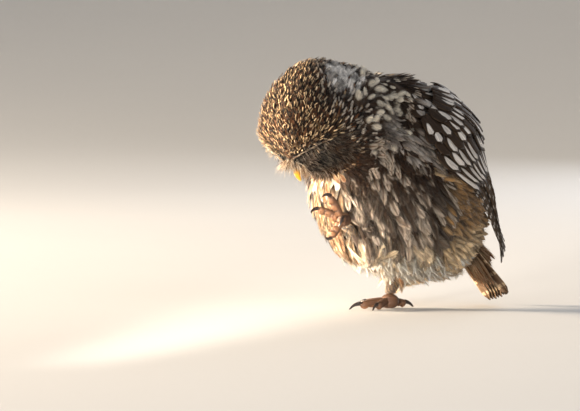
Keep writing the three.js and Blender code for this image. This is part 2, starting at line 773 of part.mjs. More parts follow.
function buildBody() {
  const group = new THREE.Group();
  const headCut = moved(headShape(GAP), headMatrix());
  const torsoCut = torsoShape(GAP);
  const neck = oval(MESH.neck, NECK_CENTRE, NECK_HALF);
  group.add(piece("torso", cutBy(torsoShape(), [headCut]), COLOURS.breast, 0.95));
  group.add(piece("neck", cutBy(neck, [headCut, torsoCut]), COLOURS.nape, 0.95));
  const leftWing = cutBy(wingShape(draws(11)), [torsoCut]);
  const rightWing = cutBy(wingShape(draws(23)), [torsoCut]).mirror([1, 0, 0]);
  group.add(piece("wing_left", leftWing, COLOURS.wing, 0.8));
  group.add(piece("wing_right", rightWing, COLOURS.wing, 0.8));
  group.add(piece("tail", cutBy(tailShape(draws(5)), [torsoCut]), COLOURS.tail, 0.8));
  return group;
}

// A foot in its own frame, each toe cut clear of the claws, the shank and the toes before it
function buildFoot(side, standing, toes, shankCut) {
  const group = new THREE.Group();
  group.add(piece(`foot_${side}`, footShape(standing), COLOURS.toe, 0.7));
  const cutters = [footShape(standing, GAP), shankCut];
  Object.entries(toes).forEach(([name, toe]) => {
    const body = cutBy(toeShape(toe), [...cutters, clawShape(toe, GAP)]);
    group.add(piece(`toe_${side}_${name}`, body, COLOURS.toe, 0.7));
    group.add(piece(`claw_${side}_${name}`, clawShape(toe), COLOURS.claw, 0.35));
    cutters.push(toeShape(toe, GAP));
  });
  return group;
}

function buildLeg(side, { shin, thigh, footAt, standing, toes }) {
  const group = new THREE.Group();
  const footCut = footShape(standing, GAP).translate(footAt);
  const thighBody = cutBy(thighShape(thigh), [torsoShape(GAP), shankShape(shin, GAP)]);
  const shankBody = cutBy(shankShape(shin), [torsoShape(GAP), footCut]);
  group.add(piece(`thigh_${side}`, thighBody, COLOURS.down, 0.95));
  group.add(piece(`shank_${side}`, shankBody, COLOURS.down, 0.95));
  const shankCut = shankShape(shin, GAP).translate(vector(footAt).negate().toArray());
  const foot = buildFoot(side, standing, toes, shankCut);
  foot.position.copy(vector(footAt));
  group.add(foot);
  return group;
}

function mapValues(table, change) {
  return Object.fromEntries(Object.entries(table).map(([key, value]) => [key, change(value)]));
}

const owl = new THREE.Group();
owl.add(buildBody());
owl.add(buildHead());
owl.add(buildLeg("right", {
  shin: RIGHT_SHIN,
  thigh: RIGHT_THIGH,
  footAt: [0, 0, 0],
  standing: true,
  toes: mapValues(RIGHT_TOES, standingToe),
}));
owl.add(buildLeg("left", {
  shin: LEFT_SHIN,
  thigh: LEFT_THIGH,
  footAt: LEFT_FOOT_AT,
  standing: false,
  toes: mapValues(LEFT_TOES, raisedToe),
}));

export default owl;
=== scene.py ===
import json
import math

import bpy
import numpy as np
from bpy.props import FloatProperty, FloatVectorProperty, PointerProperty
from mathutils import Matrix, Vector
from mathutils.bvhtree import BVHTree
from mathutils.kdtree import KDTree

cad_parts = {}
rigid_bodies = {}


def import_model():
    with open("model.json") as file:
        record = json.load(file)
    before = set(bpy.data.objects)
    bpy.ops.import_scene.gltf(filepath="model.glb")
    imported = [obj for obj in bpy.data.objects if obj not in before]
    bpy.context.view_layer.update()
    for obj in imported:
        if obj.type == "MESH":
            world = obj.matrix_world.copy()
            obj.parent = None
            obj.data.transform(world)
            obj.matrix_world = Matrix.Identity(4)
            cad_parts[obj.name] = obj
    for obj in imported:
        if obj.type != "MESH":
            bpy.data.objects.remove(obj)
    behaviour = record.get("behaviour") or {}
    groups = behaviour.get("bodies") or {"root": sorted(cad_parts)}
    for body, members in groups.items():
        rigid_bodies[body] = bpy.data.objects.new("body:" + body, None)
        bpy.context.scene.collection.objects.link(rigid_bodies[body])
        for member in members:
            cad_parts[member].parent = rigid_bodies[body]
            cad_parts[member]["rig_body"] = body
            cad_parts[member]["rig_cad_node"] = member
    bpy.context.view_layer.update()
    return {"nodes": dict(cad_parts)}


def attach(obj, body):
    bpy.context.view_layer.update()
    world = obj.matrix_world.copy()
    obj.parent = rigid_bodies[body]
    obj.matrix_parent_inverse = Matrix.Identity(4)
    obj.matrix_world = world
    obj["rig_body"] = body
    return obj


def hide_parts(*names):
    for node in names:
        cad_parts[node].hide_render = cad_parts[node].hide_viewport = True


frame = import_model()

bl_info = {
    "name": "Little owl",
    "version": (1, 0, 0),
    "blender": (4, 5, 0),
    "location": "3D View > Sidebar > Owl",
    "description": "A little owl standing on one foot, with its plumage feather by feather",
    "category": "Object",
}

MM = 0.001

# Head, as in the solids: its centre, bow and turn, and half sizes to the side, front, back, top and chin
HEAD_CENTRE = (5, -68.2, 131)
HEAD_BOW = math.radians(58)
HEAD_TURN = math.radians(18)
HEAD_HALF = {"side": 34, "front": 32, "back": 47, "top": 35, "chin": 33}

# Marks on the head, in its own frame: root of the bill, middle of the disc round an eye, and the pale
# patch. The brow line gives heights at places across, and the neck is an ellipsoid of its own
BILL_ROOT = (0, -27, -2)
DISC_TOP = (20, -22, 14)
BROW_LINE = ((3.5, 6), (12, 9), (21.5, 10), (28, 8), (32, 5))
LASH_ROWS = (4, 34)
PALE_PATCH_AT = (23, 25, 11)
BROW_LINE_TUFTS = 220
BRISTLES = 240
NECK_CENTRE = (2, -37, 131)
NECK_HALF = (37, 35, 41)

# Body: height, front, rear and half width of each level section
TORSO_SECTIONS = (
    (20.5, 34, 34, 0), (22.5, 10, 50, 17), (26, -10, 55, 28), (33, -28, 61, 38), (44, -41, 70, 45),
    (60, -52, 75.5, 49), (78, -59.5, 76, 50.5), (96, -61.5, 73, 50), (112, -52, 69.5, 48.5),
    (127, -38, 63.5, 44.5), (140, -30, 51, 38.5), (151.5, -26, 38, 31), (160, -23, 22, 21),
)
WIDEST_AT = 0.47
BODY_MIDDLE = 5
BODY_HALF = (50, 67)

# Folded wing: share of the length, turn and height of the lower edge, turn and height of the upper edge
WING_EDGES = (
    (0, 76, 135, 116, 158), (0.2, 85, 117, 153, 151), (0.4, 101, 100, 168, 129),
    (0.6, 124, 83, 171, 98), (0.8, 141, 61, 171.5, 66), (1, 148, 31, 168, 43),
)
WING_STAND_OFF = ((30, 36), (40, 26), (52, 12), (66, 4), (80, 0.5), (165, 0))

# Band of loose feathers from the side of the neck to the shoulder: front and rear end, back and up
WISPS = ((-26, 131), (12, 106))

# Tail: root and tip of its middle, and half widths of the fan
TAIL_ROOT = (0, 46, 68)
TAIL_TIP = (23, 84, 8.5)
TAIL_ROOT_HALF = 6
TAIL_TIP_HALF = 15

# Bill and eyes, in the frame of the head
BILL_PATH = ((0, -23, 1.2), (0, -29.5, -0.9), (0, -34, -4.2), (0, -37.2, -8.6), (0, -38.6, -13.4))
LOWER_BILL_PATH = ((0, -22, -5.6), (0, -27, -7.4), (0, -31.2, -9.6), (0, -34.4, -12.2))
EYE_AT = (17, -16.5, 4)
EYE_RADIUS = 7.5

# Feet: half size and middle of each sole, then the turn in degrees, reach and claw length of each right
# toe, and the tip, side of the pads and claw length of each left toe
SOLE_HALF = {"right": (6.4, 6.8, 5.4), "left": (4.8, 5.4, 4.8)}
SOLE_AT = {"right": (0.6, 1, 4.8), "left": (26.6, -54, 65)}
LEFT_FOOT_AT = (26, -55, 65)
TOE_RADIUS = 2.8
CLAW_RADIUS = 1.75
RIGHT_TOES = {
    "middle": (-4, 22.5, 11.5), "inner": (33, 19, 11), "outer": (-68, 19.5, 9.5), "hind": (176, 14, 9.5),
}
LEFT_TOES = {
    "middle": ((-9, -14.4, 7), (0.55, -0.4, -0.7), 8.5),
    "inner": ((1.5, -11.8, 16.5), (0.1, -0.9, -0.3), 8),
    "outer": ((0, -9.5, -12), (0.4, -0.75, 0.3), 8.5),
    "hind": ((10.5, -7, 0.5), (0.2, -0.5, -0.8), 8),
}

# Solids that the one skin stands for
FLESH = ("torso", "neck", "head", "thigh_right", "thigh_left", "shank_right", "shank_left")


# Sizes and colours that a user would change

def colour(name, description, red, green, blue):
    """A colour property from sRGB values of 0 to 255"""
    linear = [((value / 255 + 0.055) / 1.055) ** 2.4 for value in (red, green, blue)]
    return FloatVectorProperty(name=name, description=description, subtype="COLOR", size=3,
                               min=0, max=1, default=linear)


def length(name, description, millimetres):
    """A length property from millimetres"""
    return FloatProperty(name=name, description=description, default=millimetres * MM, min=0, unit="LENGTH")


class OwlSizes(bpy.types.PropertyGroup):
    """Depths of the coat and sizes of its feathers"""

    body_depth: length("Body depth", "How far the skin of the body lies under the feathers", 4.5)
    head_depth: length("Head depth", "How far the skin of the head lies under the feathers", 2.2)
    face_depth: length("Face depth", "How far the skin of the face lies under the bristles", 1.0)
    leg_depth: length("Leg depth", "How far the skin of the shanks lies under the down", 1.0)
    skin_grain: length("Skin grain", "Size of the faces of the skin", 1.7)


class OwlColours(bpy.types.PropertyGroup):
    """Colours of the plumage, horn and skin"""

    crown: colour("Crown", "Ground colour of the crown", 112, 70, 40)
    # Painted shade at the roots of the crown and brow feathers, under the feathers above them
    crown_root_shade: colour("Crown, dark", "Roots of the feathers of the crown", 20, 14, 10)
    crown_spot: colour("Crown flecks", "Flecks on the crown", 255, 222, 174)
    rear_spot: colour("Rear spots", "Ovals at the rear of the crown", 204, 192, 178)
    pale_patch: colour("Pale patch", "Pale patches at the back of the head", 236, 230, 224)
    brow: colour("Brows", "Feathers of the brows", 118, 86, 54)
    lash: colour("Lashes", "Barbs that hang from the brows", 214, 196, 172)
    bristle: colour("Bristles", "Bristles beside the bill", 138, 108, 80)
    wisp: colour("Wisps", "Loose feathers beside the neck", 190, 182, 174)
    nape: colour("Nape", "Ground colour of the nape", 70, 54, 42)
    nape_spot: colour("Nape spots", "Blotches of the nape", 244, 232, 212)
    back: colour("Back", "Ground colour of the back and wings", 48, 34, 23)
    back_edge: colour("Back edges", "Edges of the feathers of the back", 112, 88, 62)
    back_spot: colour("Back spots", "Spots of the back and wings", 216, 208, 200)
    breast: colour("Breast", "Ground colour of the breast", 192, 160, 126)
    rust: colour("Rust", "Streaks of the breast", 132, 84, 50)
    streak: colour("Streaks", "Middle of the feathers of the flanks", 80, 58, 40)
    flank: colour("Flank", "Edges of the feathers of the flank", 204, 188, 170)
    flank_low: colour("Flank, low", "Edges of the feathers of the lower flank", 250, 226, 190)
    flank_soft: colour("Flank, soft", "Paler middle of the feathers of the flank", 128, 104, 84)
    # Brown of the flank's running streaks, and painted shade at the roots of the breast and flank feathers
    flank_streak_and_root_shade: colour("Flank, dark", "Roots of the feathers of the flank", 52, 36, 24)
    fluff: colour("Fluff", "Loose feathers at the edge of the wing", 158, 122, 80)
    fluff_pale: colour("Fluff, pale", "Lower loose feathers", 236, 206, 164)
    # Painted shade at the roots of the loose feathers
    fluff_root_shade: colour("Fluff, dark", "Roots of the loose feathers", 84, 64, 46)
    belly: colour("Belly", "Down of the belly and legs", 255, 246, 228)
    # Near black under the brows: partly the bristles' own dark colour, partly painted shade cast by the
    # brows
    face: colour("Face", "Bristles under the brows", 20, 14, 10)
    face_rim: colour("Face rim", "Bristles of the lower rim of the face", 134, 92, 52)
    face_pale: colour("Face, pale", "Pale bristles of the disc and bill", 232, 212, 184)
    tail: colour("Tail", "Ground colour of the tail", 104, 80, 58)
    tail_bar: colour("Tail bars", "Bars of the tail", 206, 184, 154)
    bill: colour("Bill", "Horn of the bill", 212, 148, 34)
    bill_root: colour("Bill root", "Root of the bill", 92, 80, 58)
    toe: colour("Toes", "Skin of the toes", 86, 58, 39)
    pad: colour("Pads", "Pads under the toes", 132, 90, 58)
    claw: colour("Claws", "Horn of the claws", 38, 30, 28)
    iris: colour("Iris", "Colour of the eye", 232, 184, 40)
    lid: colour("Lids", "Skin of the lids", 120, 106, 96)
    skin: colour("Skin", "Skin and down under the feathers", 72, 56, 44)
    floor: colour("Floor", "Plain floor and backdrop", 208, 210, 212)


# Arithmetic on arrays of points

def unit(vectors):
    """Vectors of length one"""
    return vectors / np.maximum(np.linalg.norm(vectors, axis=-1, keepdims=True), 1e-12)


def along_surface(way, normals):
    """Unit vectors without the part that points along the normals"""
    return unit(way - normals * (way * normals).sum(-1, keepdims=True))


def ease(low, high, value):
    """Smooth step from 0 at low to 1 at high"""
    share = np.clip((value - low) / (high - low), 0, 1)
    return share * share * (3 - 2 * share)


def mix(start, end, share):
    """Between start and end by a share"""
    return start + (end - start) * share


def smooth_rows(rows):
    """Smooth curve through rows of numbers, read at any value of the first column"""
    table = np.array(rows, float)
    keys, values = table[:, 0], table[:, 1:]
    slopes = np.gradient(values, keys, axis=0)

    def read(at):
        at = np.clip(np.asarray(at, float), keys[0], keys[-1])
        low = np.clip(np.searchsorted(keys, at) - 1, 0, len(keys) - 2)
        step = (keys[low + 1] - keys[low])[..., None]
        share = (at - keys[low])[..., None] / step
        rise = share * share * (3 - 2 * share)
        leave = share * (1 - share) ** 2 * step
        arrive = share * share * (share - 1) * step
        ends = values[low] * (1 - rise) + values[low + 1] * rise
        return ends + slopes[low] * leave + slopes[low + 1] * arrive

    return read


HEAD_MATRIX = (
    Matrix.Translation(HEAD_CENTRE) @ Matrix.Rotation(HEAD_TURN, 4, "Z") @ Matrix.Rotation(HEAD_BOW, 4, "X")
)
HEAD_TURNED = np.array(HEAD_MATRIX.to_3x3())


def into_head(points):
    """Points in metres as millimetres in the frame of the head"""
    return (np.asarray(points) / MM - HEAD_CENTRE) @ HEAD_TURNED


def out_of_head(points):
    """Millimetres in the frame of the head as points in metres"""
    return (np.asarray(points, float) @ HEAD_TURNED.T + HEAD_CENTRE) * MM


def head_distance(local):
    """One on the outline of the head, more outside"""
    depth = np.where(local[..., 1] < 0, HEAD_HALF["front"], HEAD_HALF["back"])
    height = np.where(local[..., 2] > 0, HEAD_HALF["top"], HEAD_HALF["chin"])
    return np.sqrt((local[..., 0] / HEAD_HALF["side"]) ** 2 + (local[..., 1] / depth) ** 2
                   + (local[..., 2] / height) ** 2)


# Regions of the plumage. Each gives a weight of 0 to 1 for points in metres

def on_head(points):
    """The head"""
    return 1 - ease(1.06, 1.2, head_distance(into_head(points)))


def brow_height(side):
    """Height of the brow above the middle of the head, at a distance to either side"""
    sides, heights = np.transpose(BROW_LINE)
    return np.interp(side, sides, heights)


def on_face(points):
    """The face under the brows"""
    local = into_head(points)
    side = np.abs(local[..., 0])
    brow = brow_height(side)
    forward = -local[..., 1] / np.maximum(np.linalg.norm(local, axis=-1), 1e-9)
    return ease(0.1, 0.34, forward) * (1 - ease(brow - 1, brow + 3, local[..., 2])) * on_head(points)


def on_crown(points):
    """The crown and the cheeks, a little past the end of the head"""
    reach = 1 - ease(1.16, 1.28, head_distance(into_head(points)))
    return reach * (1 - on_face(points))


def on_brow(points):
    """The ridges of the brows"""
    local = into_head(points)
    side = np.abs(local[..., 0])
    above = local[..., 2] - brow_height(side)
    band = ease(-1.5, 0.5, above) * (1 - ease(3, 6, above))
    return band * ease(1, 4, side) * (1 - ease(28, 33, side)) * ease(0, 8, -local[..., 1])


def crown_rear(points):
    """The sides and rear of the crown, where the flecks grow into ovals"""
    local = into_head(points)
    return ease(9, 20, 0.35 * local[..., 1] + 0.6 * np.abs(local[..., 0]))


def pale_patch(points):
    """The pale patches on both sides of the back of the head"""
    local = into_head(points)
    mirrored = np.stack([np.abs(local[..., 0]), local[..., 1], local[..., 2]], -1)
    return 1 - ease(10, 16, np.linalg.norm(mirrored - PALE_PATCH_AT, axis=-1))


def on_nape(points):
    """The nape, with a little of the head so that no seam shows"""
    height = np.asarray(points)[..., 2] / MM
    local = (np.asarray(points) / MM - NECK_CENTRE) / NECK_HALF
    collar = 1 - ease(1.14, 1.32, np.linalg.norm(local, axis=-1))
    behind = ease(-16, -4, np.asarray(points)[..., 1] / MM) * (1 - ease(146, 156, height))
    return collar * ease(1.0, 1.1, head_distance(into_head(points))) * ease(116, 132, height) * (1 - behind)


def neck_top(points):
    """The top of the neck, where the dark feathers of the back begin"""
    points = np.asarray(points) / MM
    return 1 - ease(10, 24, np.abs(points[..., 0] - 2) + 0.5 * (160 - points[..., 2]).clip(0))


def body_turn(points):
    """Turn round the body in degrees: 0 in front, 90 at either side and 180 behind"""
    points = np.asarray(points) / MM
    across = np.abs(points[..., 0]) / BODY_HALF[0]
    return np.degrees(np.arctan2(across, (BODY_MIDDLE - points[..., 1]) / BODY_HALF[1]))


def wing_line(turn):
    """Height of the lower edge of the wing at this turn, in millimetres"""
    edge = np.array(WING_EDGES)
    return np.interp(turn, edge[:, 1], edge[:, 2], left=400)


def on_back(points):
    """The back and what lies under the wings"""
    height = np.asarray(points)[..., 2] / MM
    line = wing_line(body_turn(points))
    return ease(line - 4, line + 2, height) * (1 - on_head(points)) * (1 - on_nape(points))


def on_belly(points):
    """The underside of the body"""
    height = np.asarray(points)[..., 2] / MM
    return (1 - ease(30, 46, height)) * (1 - on_back(points)) * (1 - on_leg(points))


def on_leg(points):
    """The shanks"""
    points = np.asarray(points) / MM
    across, back, height = points[..., 0] - LEFT_FOOT_AT[0], points[..., 1], points[..., 2]
    right = (1 - ease(19, 23, height)) * (np.abs(back - 4) < 30)
    raised = ease(54, 58, height) * (back < -44) * (np.abs(across) < 9)
    shank = mix(46, 64, (-41 - back) / 13.5)
    ahead = np.hypot(across, height - shank) < 8.5
    return np.maximum(right, raised * ahead)


def under_body(points):
    """What isn't head, neck, back or leg"""
    rest = (1 - on_back(points)) * (1 - on_head(points)) * (1 - on_nape(points))
    return rest * (1 - on_leg(points))


def on_breast(points):
    """The pale breast"""
    return under_body(points) * (1 - ease(19, 29, body_turn(points))) * (1 - 0.8 * on_belly(points))


def on_flank(points):
    """The sides of the body below the wing"""
    turn = body_turn(points)
    side = ease(17, 27, turn) * (1 - ease(92, 112, turn))
    return under_body(points) * side * (1 - 0.9 * on_belly(points))


def on_wisps(points):
    """The loose grey feathers that run back from each side of the neck over the shoulder"""
    start, end = np.array(WISPS)
    side_on = np.asarray(points)[..., 1:] / MM
    way = end - start
    share = np.clip(((side_on - start) * way).sum(-1) / (way * way).sum(), 0, 1)
    off = np.linalg.norm(side_on - start - share[..., None] * way, axis=-1)
    return (1 - ease(5, 11, off)) * (1 - on_head(points))


def on_fluff(points):
    """The loose feathers along the lower edge of the wing and behind the flank"""
    turn = body_turn(points)
    line = wing_line(turn)
    height = np.asarray(points)[..., 2] / MM
    edge = ease(line - 22, line - 6, height) * ease(58, 70, turn)
    rear = ease(88, 106, turn)
    fluff = np.maximum(edge, rear) * under_body(points) * (1 - 0.6 * on_belly(points))
    return np.maximum(fluff, on_wisps(points))


def lie(points, normals):
    """The way that the feathers point at these places"""
    local = into_head(points)
    side = np.sign(local[..., 0:1])
    same = np.ones_like(side)
    from_disc = local - np.array(DISC_TOP) * np.concatenate([side, same, same], -1)
    outer = (on_face(points) * ease(9, 20, np.abs(local[..., 0])))[..., None]
    away = unit(mix(unit(local - BILL_ROOT), unit(from_disc), outer)) @ HEAD_TURNED.T
    rear = ease(-30, 60, points[..., 1] / MM)
    down = np.stack([0 * rear, mix(0.3, 1.15, rear), mix(-1, -0.7, rear)], -1)
    weight = (1 - ease(1.0, 1.55, head_distance(local)))[..., None]
    way = mix(down, away, weight)
    return along_surface(way, normals)


# Meshes

def deselect():
    """Leaves nothing selected"""
    bpy.ops.object.select_all(action="DESELECT")


def named(name):
    """The active object under a new name"""
    obj = bpy.context.object
    obj.name = name
    obj.data.name = name
    return obj


def corners_of(mesh):
    """Vertices and triangles of a mesh as arrays"""
    mesh.calc_loop_triangles()
    points = np.empty(len(mesh.vertices) * 3)
    mesh.vertices.foreach_get("co", points)
    faces = np.empty(len(mesh.loop_triangles) * 3, np.int32)
    mesh.loop_triangles.foreach_get("vertices", faces)
    return points.reshape(-1, 3), faces.reshape(-1, 3)


def put_points(obj, points):
    """Moves an object's vertices"""
    obj.data.vertices.foreach_set("co", np.asarray(points, np.float32).ravel())


def apply_modifier(obj, kind, **settings):
    """Adds a modifier with these settings and applies it"""
    modifier = obj.modifiers.new(kind.lower(), kind)
    for key, value in settings.items():
        setattr(modifier, key, value)
    bpy.ops.object.modifier_apply(modifier=modifier.name)


def edit_all(*steps):
    """Runs steps in edit mode on all of the active object"""
    bpy.ops.object.mode_set(mode="EDIT")
    bpy.ops.mesh.select_all(action="SELECT")
    for step in steps:
        step()
    bpy.ops.object.mode_set(mode="OBJECT")


def outward():
    """Turns the normals outward"""
    bpy.ops.mesh.normals_make_consistent(inside=False)


def merge(distance):
    """A step that merges vertices up to a distance apart"""
    return lambda: bpy.ops.mesh.remove_doubles(threshold=distance)


def taken_apart():
    """The active object's vertices and triangles, with the object removed"""
    obj = bpy.context.object
    points, faces = corners_of(obj.data)
    bpy.data.objects.remove(obj)
    return points, faces


def mesh_from(name, points, faces):
    """A new object from arrays of points and triangles"""
    mesh = bpy.data.meshes.new(name)
    mesh.vertices.add(len(points))
    mesh.vertices.foreach_set("co", np.asarray(points, np.float32).ravel())
    mesh.loops.add(faces.size)
    mesh.loops.foreach_set("vertex_index", faces.astype(np.int32).ravel())
    mesh.polygons.add(len(faces))
    mesh.polygons.foreach_set("loop_start", np.arange(0, faces.size, 3, dtype=np.int32))
    mesh.polygons.foreach_set("use_smooth", np.ones(len(faces), bool))
    mesh.update(calc_edges=True)
    obj = bpy.data.objects.new(name, mesh)
    bpy.context.scene.collection.objects.link(obj)
    return obj


def add_uv(obj, name, values):
    """A UV map from a value for each vertex"""
    mesh = obj.data
    corner = np.empty(len(mesh.loops), np.int32)
    mesh.loops.foreach_get("vertex_index", corner)
    layer = mesh.uv_layers.new(name=name)
    layer.data.foreach_set("uv", np.asarray(values, np.float32)[corner].ravel())


def add_numbers(obj, name, values):
    """An attribute of three numbers for each vertex"""
    layer = obj.data.attributes.new(name, "FLOAT_VECTOR", "POINT")
    layer.data.foreach_set("vector", np.asarray(values, np.float32).ravel())


def finish(obj, material, slot, *nodes):
    """Gives a piece its material, and lets it ride in place of the solids named. The slot is not used"""
    obj.data.materials.clear()
    obj.data.materials.append(material)
    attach(obj, "root")
    if nodes:
        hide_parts(*nodes)
    return obj


def ball(name, segments, rings, place):
    """A closed smooth piece: place gives points for turns and levels from pole to pole of a sphere.
    Gives the piece, the turns and the levels"""
    deselect()
    bpy.ops.mesh.primitive_uv_sphere_add(segments=segments, ring_count=rings, radius=1)
    obj = named(name)
    points, _ = corners_of(obj.data)
    level = np.arccos(np.clip(points[:, 2], -1, 1)) / math.pi
    turn = np.arctan2(points[:, 0], points[:, 1])
    put_points(obj, place(turn, level))
    edit_all(outward)
    bpy.ops.object.shade_smooth()
    return obj, turn, level


def add_length_map(obj, turn, level):
    """A UV map of shares along and round the piece"""
    add_uv(obj, "length", np.stack([level, turn / (2 * math.pi) + 0.5], 1))


def put_on_head(obj):
    """Moves a piece from millimetres in the frame of the head to its place"""
    obj.data.transform(HEAD_MATRIX)
    obj.data.transform(Matrix.Scale(MM, 4))


class Surface:
    """A mesh that answers where its nearest places are"""

    def __init__(self, obj):
        mesh = obj.data
        self.points, self.corners = corners_of(mesh)
        normals = np.empty(len(mesh.vertices) * 3)
        mesh.vertices.foreach_get("normal", normals)
        self.normals = normals.reshape(-1, 3)
        loops = np.empty(self.corners.size, np.int32)
        mesh.loop_triangles.foreach_get("loops", loops)
        unwrap = np.empty(len(mesh.loops) * 2)
        mesh.uv_layers["OFBake"].data.foreach_get("uv", unwrap)
        self.unwrap = unwrap.reshape(-1, 2)[loops].reshape(-1, 3, 2)
        self.tree = BVHTree.FromPolygons(self.points.tolist(), self.corners.tolist())

    def shares(self, faces, spots):
        """Share of each corner of its face in each spot"""
        a, b, c = (self.points[self.corners[faces, i]] for i in range(3))
        ab, ac, at = b - a, c - a, spots - a
        dots = [(one * two).sum(1) for one, two in ((ab, ab), (ab, ac), (ac, ac), (at, ab), (at, ac))]
        size = np.maximum(dots[0] * dots[2] - dots[1] ** 2, 1e-24)
        second = (dots[2] * dots[3] - dots[1] * dots[4]) / size
        third = (dots[0] * dots[4] - dots[1] * dots[3]) / size
        return np.stack([1 - second - third, second, third], 1)

    def nearest(self, places):
        """Nearest spots on the surface, with smooth normals and places on its unwrap"""
        flat = places.reshape(-1, 3)
        hits = [self.tree.find_nearest(place) for place in flat.tolist()]
        spots = np.array([hit[0] for hit in hits])
        faces = np.array([hit[2] for hit in hits])
        shares = self.shares(faces, spots)[..., None]
        normals = unit((self.normals[self.corners[faces]] * shares).sum(1))
        unwrap = (self.unwrap[faces] * shares).sum(1)
        return spots.reshape(places.shape), normals.reshape(places.shape), unwrap

    def scatter(self, gap, seed, stretch=1.0, tries=7):
        """Random spots about gap apart, and further apart in height by the stretch. The gap is a
        function of the place, and 0 where no spot is wanted"""
        draws = np.random.default_rng(seed)
        a, b, c = (self.points[self.corners[:, i]] for i in range(3))
        area = np.linalg.norm(np.cross(b - a, c - a), axis=1) / 2
        wanted = gap((a + b + c) / 3)
        amount = np.where(wanted > 0, area / np.maximum(wanted, MM / 10) ** 2, 0)
        count = int(amount.sum() * tries)
        faces = draws.choice(len(area), count, p=amount / amount.sum())
        one, two = np.sqrt(draws.random(count))[:, None], draws.random(count)[:, None]
        spots = a[faces] * (1 - one) + b[faces] * one * (1 - two) + c[faces] * one * two
        own = gap(spots)
        pressed = spots * (1, 1, 1 / stretch)
        tree = KDTree(count)
        for index, spot in enumerate(pressed.tolist()):
            tree.insert(spot, index)
        tree.balance()
        free = own > 0
        kept = []
        for index in range(count):
            if free[index]:
                kept.append(index)
                for _, other, _ in tree.find_range(pressed[index], own[index]):
                    free[other] = False
        return spots[kept]


# Side of the patch that each feather of the coat has on its map
PATCH = 0.003


# Feathers. A template holds points with x across from -1 to 1, y from root to tip and z up, and triangles

def leaf(share):
    """Half width of a body feather at a share of its length: narrow root, broad round tip"""
    return (0.3 + 0.7 * ease(0, 0.55, share)) * rounded(share, 0.6, 2)


def barb():
    """One barb, modelled as a slim closed spike from y 0 to 1"""
    deselect()
    bpy.ops.mesh.primitive_cone_add(vertices=3, radius1=1, radius2=0, depth=1)
    points, faces = taken_apart()
    return np.stack([points[:, 0], points[:, 2] + 0.5, points[:, 1] * 0.5], 1), faces


def along_barb(template, start, end, bend, width, lift=0.0):
    """A copy of the barb from start to end in the feather's plane, with its tip lifted off that plane"""
    points, faces = template
    start, end = np.array(start, float), np.array(end, float)
    way = end - start
    side = np.array([way[1], -way[0]]) / max(np.hypot(*way), 1e-9)
    share = points[:, 1:2]
    middle = start + way * share + side * bend * share * (1 - share) * 4 + side * points[:, :1] * width
    height = points[:, 2] * width + lift * share[:, 0]
    return np.column_stack([middle, height]), faces


def gathered(parts):
    """Several templates as one"""
    points, faces, start = [], [], 0
    for part_points, part_faces in parts:
        points.append(part_points)
        faces.append(part_faces + start)
        start += len(part_points)
    return np.concatenate(points), np.concatenate(faces)


def blade(segments, rings, cover):
    """The close part of a body feather: a thin closed leaf with a blunt tip"""
    deselect()
    bpy.ops.mesh.primitive_uv_sphere_add(segments=segments, ring_count=rings, radius=1)
    points, faces = taken_apart()
    share = (1 - points[:, 2]) / 2
    ring = np.hypot(points[:, 0], points[:, 1])
    inside = ring > 1e-6
    across = np.where(inside, points[:, 1] / np.maximum(ring, 1e-6), 0) * leaf(share) * cover
    height = np.where(inside, points[:, 0] / np.maximum(ring, 1e-6), 0)
    return np.stack([across, share * 0.98, height * 0.03 - 0.14 * across ** 2 - 0.05], 1), faces


def soft_feather(barbs, width, body, cover, spread, draws):
    """A body feather: a close blade under loose barbs that fray its edges and its round tip"""
    one = barb()
    parts = [blade(*body, cover)]
    for side in (-1, 1):
        for index in range(barbs):
            root = mix(0.05, 0.78, (index + 0.5) / barbs)
            tip = min(root + spread * draws.uniform(0.6, 1.4), 0.94)
            start = side * leaf(root) * draws.uniform(0.1, 0.75)
            edge = leaf(tip) * draws.uniform(0.75, 1.12)
            parts.append(along_barb(one, (start, root), (side * edge, tip), side * 0.06, width,
                                    draws.uniform(-0.06, 0.1)))
    for across in np.linspace(-0.85, 0.85, barbs):
        tip = 0.82 + 0.18 * math.sqrt(1 - across * across) + draws.normal(0, 0.05)
        root = (across * 0.5, draws.uniform(0.45, 0.7))
        parts.append(along_barb(one, root, (across * 0.95, tip), 0.0, width, draws.uniform(-0.04, 0.12)))
    return gathered(parts)


def plume(strands, width, fan, draws):
    """A tuft of down or bristles: strands that part from one root"""
    one = barb()
    parts = []
    for index in range(strands):
        share = (index + 0.5) / strands * 2 - 1
        tip = (share * fan + draws.normal(0, 0.1), draws.uniform(0.7, 1.05))
        start = (share * 0.3, draws.uniform(0, 0.2))
        parts.append(along_barb(one, start, tip, draws.normal(0, 0.06), width, draws.normal(0, 0.16)))
    return gathered(parts)


def downy_feather(strands, width, body, cover, fan, draws):
    """A loose feather: a small blade under many fine strands"""
    return gathered([blade(*body, cover), plume(strands, width, fan, draws)])


def vane(columns, rows, outline, thickness=0.04, camber=0.12, ridge=0.05):
    """A firm feather: a thin closed leaf with a ridge along its shaft"""
    deselect()
    bpy.ops.mesh.primitive_grid_add(x_subdivisions=columns, y_subdivisions=rows, size=2)
    obj = bpy.context.object
    points, _ = corners_of(obj.data)
    across, along = points[:, 0].copy(), (points[:, 1] + 1) / 2
    points[:, 0] = across * outline(along)
    points[:, 1] = along
    points[:, 2] = -camber * across ** 2 + ridge * (np.abs(across) < 0.01)
    put_points(obj, points)
    apply_modifier(obj, "SOLIDIFY", thickness=thickness, offset=0)
    return taken_apart()


def rounded(along, shoulder, power):
    """One up to the shoulder, then round to 0 at the tip"""
    past = np.clip((along - shoulder) / (1 - shoulder), 0, 1)
    return np.sqrt(np.clip(1 - past ** power, 0, 1))


def flight_outline(along):
    """Half width of a flight feather: narrow at the root, even, and rounded at the tip"""
    return np.maximum((0.45 + 0.55 * ease(0, 0.3, along)) * rounded(along, 0.84, 2), 0.08)


